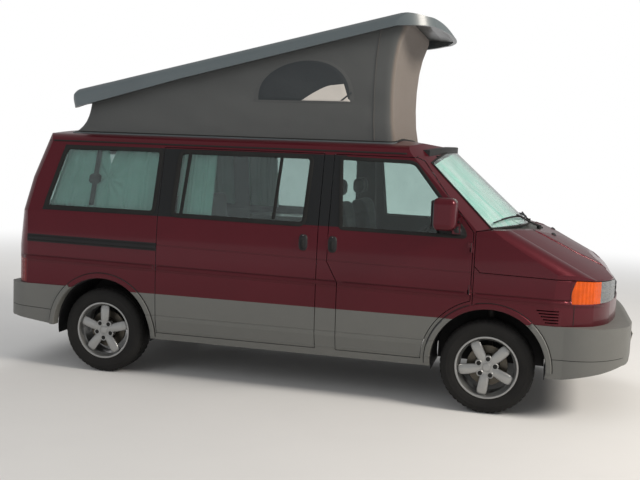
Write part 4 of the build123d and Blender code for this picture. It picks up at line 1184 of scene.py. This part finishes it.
def make_tent_windows():
    pieces = wall_patch("tent_window_border", arc_outline(-0.47, 0.35, 2.105, 0.345),
                        "canvas", 0.0035)
    pieces += wall_patch("tent_window", arc_outline(-0.442, 0.325, 2.12, 0.318), "mesh",
                         0.006)
    # A pale patch inside the window: painted light seen through both tent windows.
    light = [(-0.11 + 0.435 * k / 12, 2.126) for k in range(13)]
    light += [(0.322 - 0.052 * k / 6, 2.126 + 0.152 * k / 6) for k in range(1, 7)]
    light += [(0.27 - 0.12 * k / 5, 2.278 - 0.014 * k / 5) for k in range(1, 6)]
    light += [(0.15 - 0.26 * k / 10, 2.264 - 0.138 * (k / 10) ** 1.35)
              for k in range(1, 10)]
    pieces += wall_patch("tent_light", light, "clear", 0.0072, rings=5)
    strap = [(0.205, 2.128), (0.232, 2.128), (0.318, 2.198), (0.31, 2.216)]
    pieces += wall_patch("tent_strap", resampled(strap, 0.03, closed=True), "mesh", 0.0084,
                         rings=3)
    return pieces


def foot_ring(base, section, place):
    """A closed ring round the canvas foot, from a place for each point of its section."""
    feet = [Vector((x, y, roof_z(x, y))) for x, y in base]
    verts = [place(foot, *pair) for foot in feet for pair in section]
    return verts, grid_faces(len(base), len(section), close_rows=True, close_columns=True)


def make_tent_trim():
    """The seal and ledge at the canvas foot and the seams at its front corners."""
    base, _ = perimeter(240)
    seal = foot_ring(base, ((0.0, -0.004), (0.013, -0.004), (0.012, 0.008), (0.004, 0.013),
                            (-0.002, 0.01)),
                     lambda at, out, up: at + outward(at, at) * out + Vector((0, 0, up)))
    piece("tent_foot_seal", seal, "rubber")
    ledge = foot_ring(base, ((0.0, -0.012), (0.02, -0.012), (0.021, 0.0), (0.0, 0.004)),
                      lambda at, out, up: Vector((
                          at[0] * 1.012, at[1] * 1.04 + math.copysign(out, at[1]),
                          at[2] + up)))
    piece("tent_foot_ledge", ledge, "shell")
    seams = []
    for sign in (-1, 1):
        line = []
        for share in (k / 27 for k in range(28)):
            at = tent_point((TENT_FRONT - 0.155, sign * TENT_SIDE), 0.01 + 0.98 * share)
            out = Vector((0, sign, 0))
            line.append(creased(at, out, share) + out * 0.002)
        seams.append(tube(line, 0.0022, 6))
    return piece("tent_seams", join_meshes(seams), "canvas")


tent_pieces = [make_tent()] + make_tent_windows() + [make_tent_trim()]
for obj in tent_pieces:
    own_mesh(obj)


# Curtains, shade and seats

def wall_y(x, z):
    """How far out the body's side is at x and z."""
    return -(spot(SIDE, "side", x, z) or Vector((0, -0.86, 0)))[1]


def curtain(name, rear, front, z0, folds, sign, tie=None, z1=1.716):
    """A gathered curtain behind a side window; its ends are lines given by (x, lean)."""
    columns, rows, verts = folds * 10 + 1, 30, []
    for j in range(rows):
        z = z1 + (z0 - z1) * j / (rows - 1)
        u0, u1 = (x + lean * max(0.0, z - start) for x, lean, start in (rear, front))
        for i in range(columns):
            share = i / (columns - 1)
            x = u0 + (u1 - u0) * share
            wave = math.sin(2.0 * math.pi * folds * share + 2.0 * math.sin(18.0 * share))
            slow = noise.noise(Vector((x * 4.0, z * 1.5, 0.7)))
            depth = 0.056 + 0.0045 * wave + 0.005 * slow
            if tie is not None:
                away = Vector((x - tie[0], z - tie[1]))
                fan = math.sin(11.0 * math.atan2(away[1], away[0]) + 1.0)
                near = math.exp(-(away.length / 0.22) ** 2) * min(1.0, away.length / 0.04)
                depth = 0.056 + (depth - 0.056) * (1 - 0.7 * near) + 0.0085 * fan * near
                depth += 0.006 * math.exp(-(away.length / 0.05) ** 2)
            verts.append(Vector((x, sign * (wall_y(x, z) - depth), z)))
    obj = piece(name, (verts, grid_faces(rows, columns)), "curtain", angle=80)
    return obj


def make_curtains():
    """The side windows' curtains, those of the right quarter window parted and tied."""
    tie = (-1.534, 1.491)
    for side, sign in (("right", -1), ("left", 1)):
        parted = 1.0 if sign < 0 else 0.0
        for name, rear, front, z0, folds, knot in (
                ("quarter_rear", (-2.015, 0.26, 1.262), (-1.524, -0.24 * parted, 1.59),
                 1.258, 9, tie),
                ("quarter_front", (-1.532, 0.34 * parted, 1.59), (-1.096, 0.0, 0.0),
                 1.258, 7, tie),
                ("middle", (-0.945, 0.0, 0.0), (-0.665, 0.0, 0.0), 1.252, 7, None)):
            made = curtain(f"curtain_{name}_{side}", rear, front, z0, folds, sign, knot)
            if (name, side) == ("quarter_rear", "right"):
                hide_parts("window_covers")
        belt = []
        for half, lift, zs in ((0.02, 0.04, (1.285, 1.4, 1.5, 1.6, 1.712)),
                               (0.05, 0.036, (1.452, 1.468, 1.49, 1.512, 1.526))):
            verts = []
            for z in zs:
                x = -1.64 + (z - 1.5) * 0.05
                y = wall_y(x, z)
                edge = half * (0.6 if half > 0.03 and z in (zs[0], zs[-1]) else 1.0)
                for dx, dy in ((-edge, 0.0), (edge, 0.0), (edge, 0.004), (-edge, 0.004)):
                    verts.append(Vector((x + dx, sign * (y - lift - dy), z)))
            faces = grid_faces(len(zs), 4, close_columns=True)
            belt.append((verts, faces + end_faces(len(verts), 4)))
        piece(f"belt_cover_{side}", join_meshes(belt), "black", slot="trim_grey")


def make_shade():
    """The shade behind the windscreen, its panels slightly pillowed."""
    inner = tree_of(["windscreen"])
    normal, upward = rake_axes(SHADE_RAKE)
    verts, rows, columns = [], 34, 64
    wide, narrow = 0.735, 0.662
    for v in (j / (rows - 1) for j in range(rows)):
        for u in (i / (columns - 1) for i in range(columns)):
            y = (2.0 * u - 1.0) * (wide + (narrow - wide) * v)
            foot = -0.4 + 0.16 * (abs(y) / wide) ** 2
            centre = SCREEN_MIDDLE + upward * (foot + (0.35 - foot) * v)
            start = centre + normal
            start[1] = y
            hit = inner.ray_cast(start, -normal)[0]
            if hit is None:
                hit = centre - normal * screen_sag(y)
                hit[1] = y
            pillow = 0.004 + 0.004 * math.sin(math.pi * 6 * u) ** 2
            crumple = 0.004 * noise.noise(Vector((u * 9.0, v * 6.0, 0.2)))
            verts.append(hit - normal * (0.008 + pillow + abs(crumple)))
    obj = piece("shade_foil", (verts, grid_faces(rows, columns)), "foil", angle=80)
    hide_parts("sunshade")


# Cushions: voxel size, cloth pressure and frames, and how wide and deep a seam is
VOXEL, PRESSURE, BLOW_FRAMES, SEAM = 0.016, 4.0, 20, 0.009


def foot_pivot(low, high):
    return Vector(((low[0] + high[0]) / 2, 0, low[2]))


def cushion(name, low, high, radius, sew, lean=0.0, swell=0.018):
    """A padded block: remeshed, blown up as cloth, with sewn channels pressed in after."""
    verts, faces = soft_box(low, high, radius, 3)
    if lean:
        pivot = foot_pivot(low, high)
        turn = Matrix.Rotation(-lean, 3, "Y")
        verts = [pivot + turn @ (v - pivot) for v in verts]
    obj = piece(name, (verts, faces), "seat", angle=80)
    inflate(obj, swell)
    smooth_up(obj)
    press_channels(obj, low, high, sew, lean)
    return obj


def inflate(obj, cap):
    """Cloth pressure for twenty frames, no point moving further than cap."""
    parent = obj.parent
    obj.parent = None
    remesh = obj.modifiers.new("remesh", "REMESH")
    remesh.mode = "VOXEL"
    remesh.voxel_size = VOXEL
    apply_modifiers(obj)
    rest = [v.co.copy() for v in obj.data.vertices]
    cloth = obj.modifiers.new("cloth", "CLOTH")
    cloth.settings.use_pressure = True
    cloth.settings.uniform_pressure_force = PRESSURE
    cloth.settings.effector_weights.gravity = 0.0
    cloth.point_cache.frame_end = BLOW_FRAMES
    for step in range(1, BLOW_FRAMES + 1):
        bpy.context.scene.frame_set(step)
    apply_modifiers(obj)
    for vertex, start in zip(obj.data.vertices, rest):
        move = vertex.co - start
        if move.length > cap:
            vertex.co = start + move.normalized() * cap
    bpy.context.scene.frame_set(1)
    obj.parent = parent
    obj.data.shade_smooth()


def apply_modifiers(obj):
    graph = bpy.context.evaluated_depsgraph_get()
    mesh = bpy.data.meshes.new_from_object(obj.evaluated_get(graph))
    obj.modifiers.clear()
    old = obj.data
    obj.data = mesh
    bpy.data.meshes.remove(old)


def smooth_up(obj):
    modifier = obj.modifiers.new("smooth", "SUBSURF")
    modifier.levels = modifier.render_levels = 1
    parent = obj.parent
    obj.parent = None
    apply_modifiers(obj)
    obj.parent = parent
    obj.data.shade_smooth()


def press_channels(obj, low, high, sew, lean):
    """Sewn lines across the cushion's faces, as soft grooves."""
    axis, lines = sew
    pivot = foot_pivot(low, high)
    back = Matrix.Rotation(lean, 3, "Y")
    centre = Vector([(a + b) / 2 for a, b in zip(low, high)])
    for vertex in obj.data.vertices:
        flat = pivot + back @ (vertex.co - pivot) if lean else vertex.co
        depth = 0.0
        for line in lines:
            depth += math.exp(-((flat[axis] - line) / SEAM) ** 2)
        inward = centre - flat
        inward[axis] = 0.0
        if inward.length > 1e-6:
            vertex.co += inward.normalized() * SEAM * min(depth, 1.0)


def make_seats():
    base = []
    for side, y in (("right", -0.4), ("left", 0.4)):
        pad = cushion(f"seat_cushion_{side}", (0.305, y - 0.235, 0.775),
                      (0.775, y + 0.235, 0.885), 0.035, (0, (0.42, 0.54, 0.66)))
        cushion(f"seat_back_{side}", (0.255, y - 0.225, 0.88), (0.355, y + 0.225, 1.415),
                0.035, (2, (1.02, 1.15, 1.28)), lean=math.radians(11.0))
        cushion(f"seat_head_{side}", (0.15, y - 0.14, 1.432), (0.24, y + 0.14, 1.562),
                0.04, (1, (y,)), swell=0.006)
        if side == "right":
            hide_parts("front_seats")
        base.append(soft_box((0.335, y - 0.205, 0.521), (0.745, y + 0.205, 0.772), 0.02))
        base += [tube([(0.185, y + dy, 1.4), (0.195, y + dy, 1.5)], 0.006)
                 for dy in (-0.06, 0.06)]
    piece("seat_bases", join_meshes(base), "trim")
    bench = cushion("bench_cushion", (-1.03, -0.745, 0.775), (-0.49, 0.405, 0.885), 0.035,
                    (1, (-0.36, 0.02)))
    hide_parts("rear_bench")
    cushion("bench_back", (-1.035, -0.745, 0.885), (-0.95, 0.405, 1.4), 0.035,
            (1, (-0.36, 0.02)), lean=math.radians(7.0))
    piece("bench_base", soft_box((-1.000, -0.715, 0.521), (-0.52, 0.375, 0.772), 0.015),
          "trim")


def make_wheel_rim():
    """The steering wheel: a gripped rim, three spokes and a padded hub."""
    turn = Matrix.Translation(Vector((0.745, 0.38, 1.14))) @ Matrix.Rotation(
        math.radians(-40.0), 4, "Y")
    verts, around, minor = [], 72, 14
    for a in turns(around):
        thick = 0.0145 + 0.0006 * math.cos(a * 24)
        for b in turns(minor):
            r = 0.18 + thick * math.cos(b)
            verts.append(Vector((r * math.cos(a), r * math.sin(a), thick * math.sin(b))))
    ring = (verts, grid_faces(around, minor, close_rows=True, close_columns=True))
    parts = [ring, soft_box((-0.062, -0.075, -0.02), (0.058, 0.075, 0.024), 0.02),
             tube([(0, 0, -0.058), (0, 0, 0.0)], 0.021, 24)]
    for angle in (0.0, math.pi, 1.5 * math.pi):
        c, s = math.cos(angle + math.pi / 2), math.sin(angle + math.pi / 2)
        line = [(c * r, s * r, z) for r, z in ((0.05, 0.004), (0.11, 0.002), (0.176, 0.0))]
        parts.append(tube(line, 0.013, 12))
    moved = [([turn @ v for v in part[0]], part[1]) for part in parts]
    wheel = piece("steering_wheel_look", join_meshes(moved), "trim", "steering_wheel")
    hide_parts("steering_wheel")


def make_dash_details():
    """An instrument pod and vents on the dashboard."""
    parts = [soft_box((1.005, 0.23, 1.16), (1.15, 0.53, 1.196), 0.015)]
    for y in (-0.62, -0.12, 0.12, 0.68):
        parts.append(soft_box((0.978, y - 0.055, 1.08), (1.02, y + 0.055, 1.13), 0.008))
    piece("dash_details", join_meshes(parts), "black")


make_curtains()
make_shade()
make_seats()
make_wheel_rim()
make_dash_details()


# Stage, lights and camera

def make_stage():
    mesh = bpy.data.meshes.new("floor")
    size = 60.0
    corners = [(-size, -size, 0), (size, -size, 0), (size, size, 0), (-size, size, 0)]
    mesh.from_pydata(corners, [], [(0, 1, 2, 3)])
    floor = bpy.data.objects.new("floor", mesh)
    bpy.context.scene.collection.objects.link(floor)
    mat, tree, bsdf = new_material("floor_pale")
    speck = noise_of(tree, object_coords(tree), 1.5, 4.0)
    feed(bsdf, "Base Color", mix_colour(tree, speck, (0.74, 0.735, 0.725),
                                        (0.7, 0.695, 0.685)))
    set_plain(bsdf, Roughness=0.85, Specular_IOR_Level=0.2)
    away = add_node(tree, "ShaderNodeVectorMath", {0: object_coords(tree)},
                    operation="LENGTH")
    far = add_node(tree, "ShaderNodeMapRange", {
        "Value": away.outputs["Value"], "From Min": 5.0, "From Max": 13.0},
        interpolation_type="SMOOTHSTEP")
    glow = add_node(tree, "ShaderNodeEmission", {"Color": (1.0, 1.0, 1.0, 1.0),
                                                 "Strength": 1.0})
    blend = add_node(tree, "ShaderNodeMixShader", {0: far.outputs[0]})
    feed(blend, 1, bsdf.outputs[0])
    feed(blend, 2, glow.outputs[0])
    feed(tree.nodes["Material Output"], "Surface", blend.outputs[0])
    mesh.materials.append(mat)


# Name, place, target, size, watts, colour
LIGHTS = (("key", (8.0, -2.2, 6.2), (0.3, 0, 1.0), 3.0, 760.0, (1.0, 0.93, 0.84)),
          ("fill", (-5.0, -8.0, 4.5), (-0.3, 0, 1.0), 6.0, 150.0, (0.93, 0.96, 1.0)),
          ("back", (-3.0, 7.0, 6.0), (0.0, 0, 1.2), 5.0, 260.0, (1.0, 1.0, 1.0)))


def make_light(name, place, target, size, watts, colour):
    data = bpy.data.lights.new(name, "AREA")
    data.shape = "DISK"
    data.size = size
    data.energy = watts
    data.color = colour
    lamp = bpy.data.objects.new(name, data)
    lamp.location = place
    aim = Vector(target) - Vector(place)
    lamp.rotation_mode = "QUATERNION"
    lamp.rotation_quaternion = aim.to_track_quat("-Z", "Y")
    lamp.visible_glossy = name == "key"
    bpy.context.scene.collection.objects.link(lamp)


def make_world():
    world = bpy.data.worlds.new("studio")
    bpy.context.scene.world = world
    world.use_nodes = True
    tree = world.node_tree
    back = tree.nodes["Background"]
    path = add_node(tree, "ShaderNodeLightPath")
    seen = maths(tree, "MAXIMUM", path.outputs["Is Camera Ray"],
                 path.outputs["Is Transmission Ray"])
    strength = maths(tree, "MULTIPLY_ADD", seen, 1.0 - WORLD_LIGHT, WORLD_LIGHT)
    feed(back, "Strength", strength)
    back.inputs["Color"].default_value = (1.0, 1.0, 1.0, 1.0)


def make_camera():
    """The photo's view, fitted to the wheels, arches and windows."""
    ahead = Vector((-math.sin(YAW) * math.cos(PITCH), math.cos(YAW) * math.cos(PITCH),
                    math.sin(PITCH)))
    right = Vector((math.cos(YAW), math.sin(YAW), 0.0))
    over = right.cross(ahead)
    across = right * math.cos(ROLL) + over * math.sin(ROLL)
    upward = -right * math.sin(ROLL) + over * math.cos(ROLL)
    data = bpy.data.cameras.new("camera")
    data.sensor_width = SENSOR
    data.lens = FOCAL_PIXELS / WIDTH_PIXELS * SENSOR
    camera = bpy.data.objects.new("camera", data)
    turn = Matrix((across, upward, -ahead)).transposed().to_4x4()
    camera.matrix_world = Matrix.Translation(CAMERA_AT) @ turn
    bpy.context.scene.collection.objects.link(camera)
    bpy.context.scene.camera = camera


make_stage()
for light in LIGHTS:
    make_light(*light)
make_world()
make_camera()
bpy.context.scene.view_settings.view_transform = "Standard"
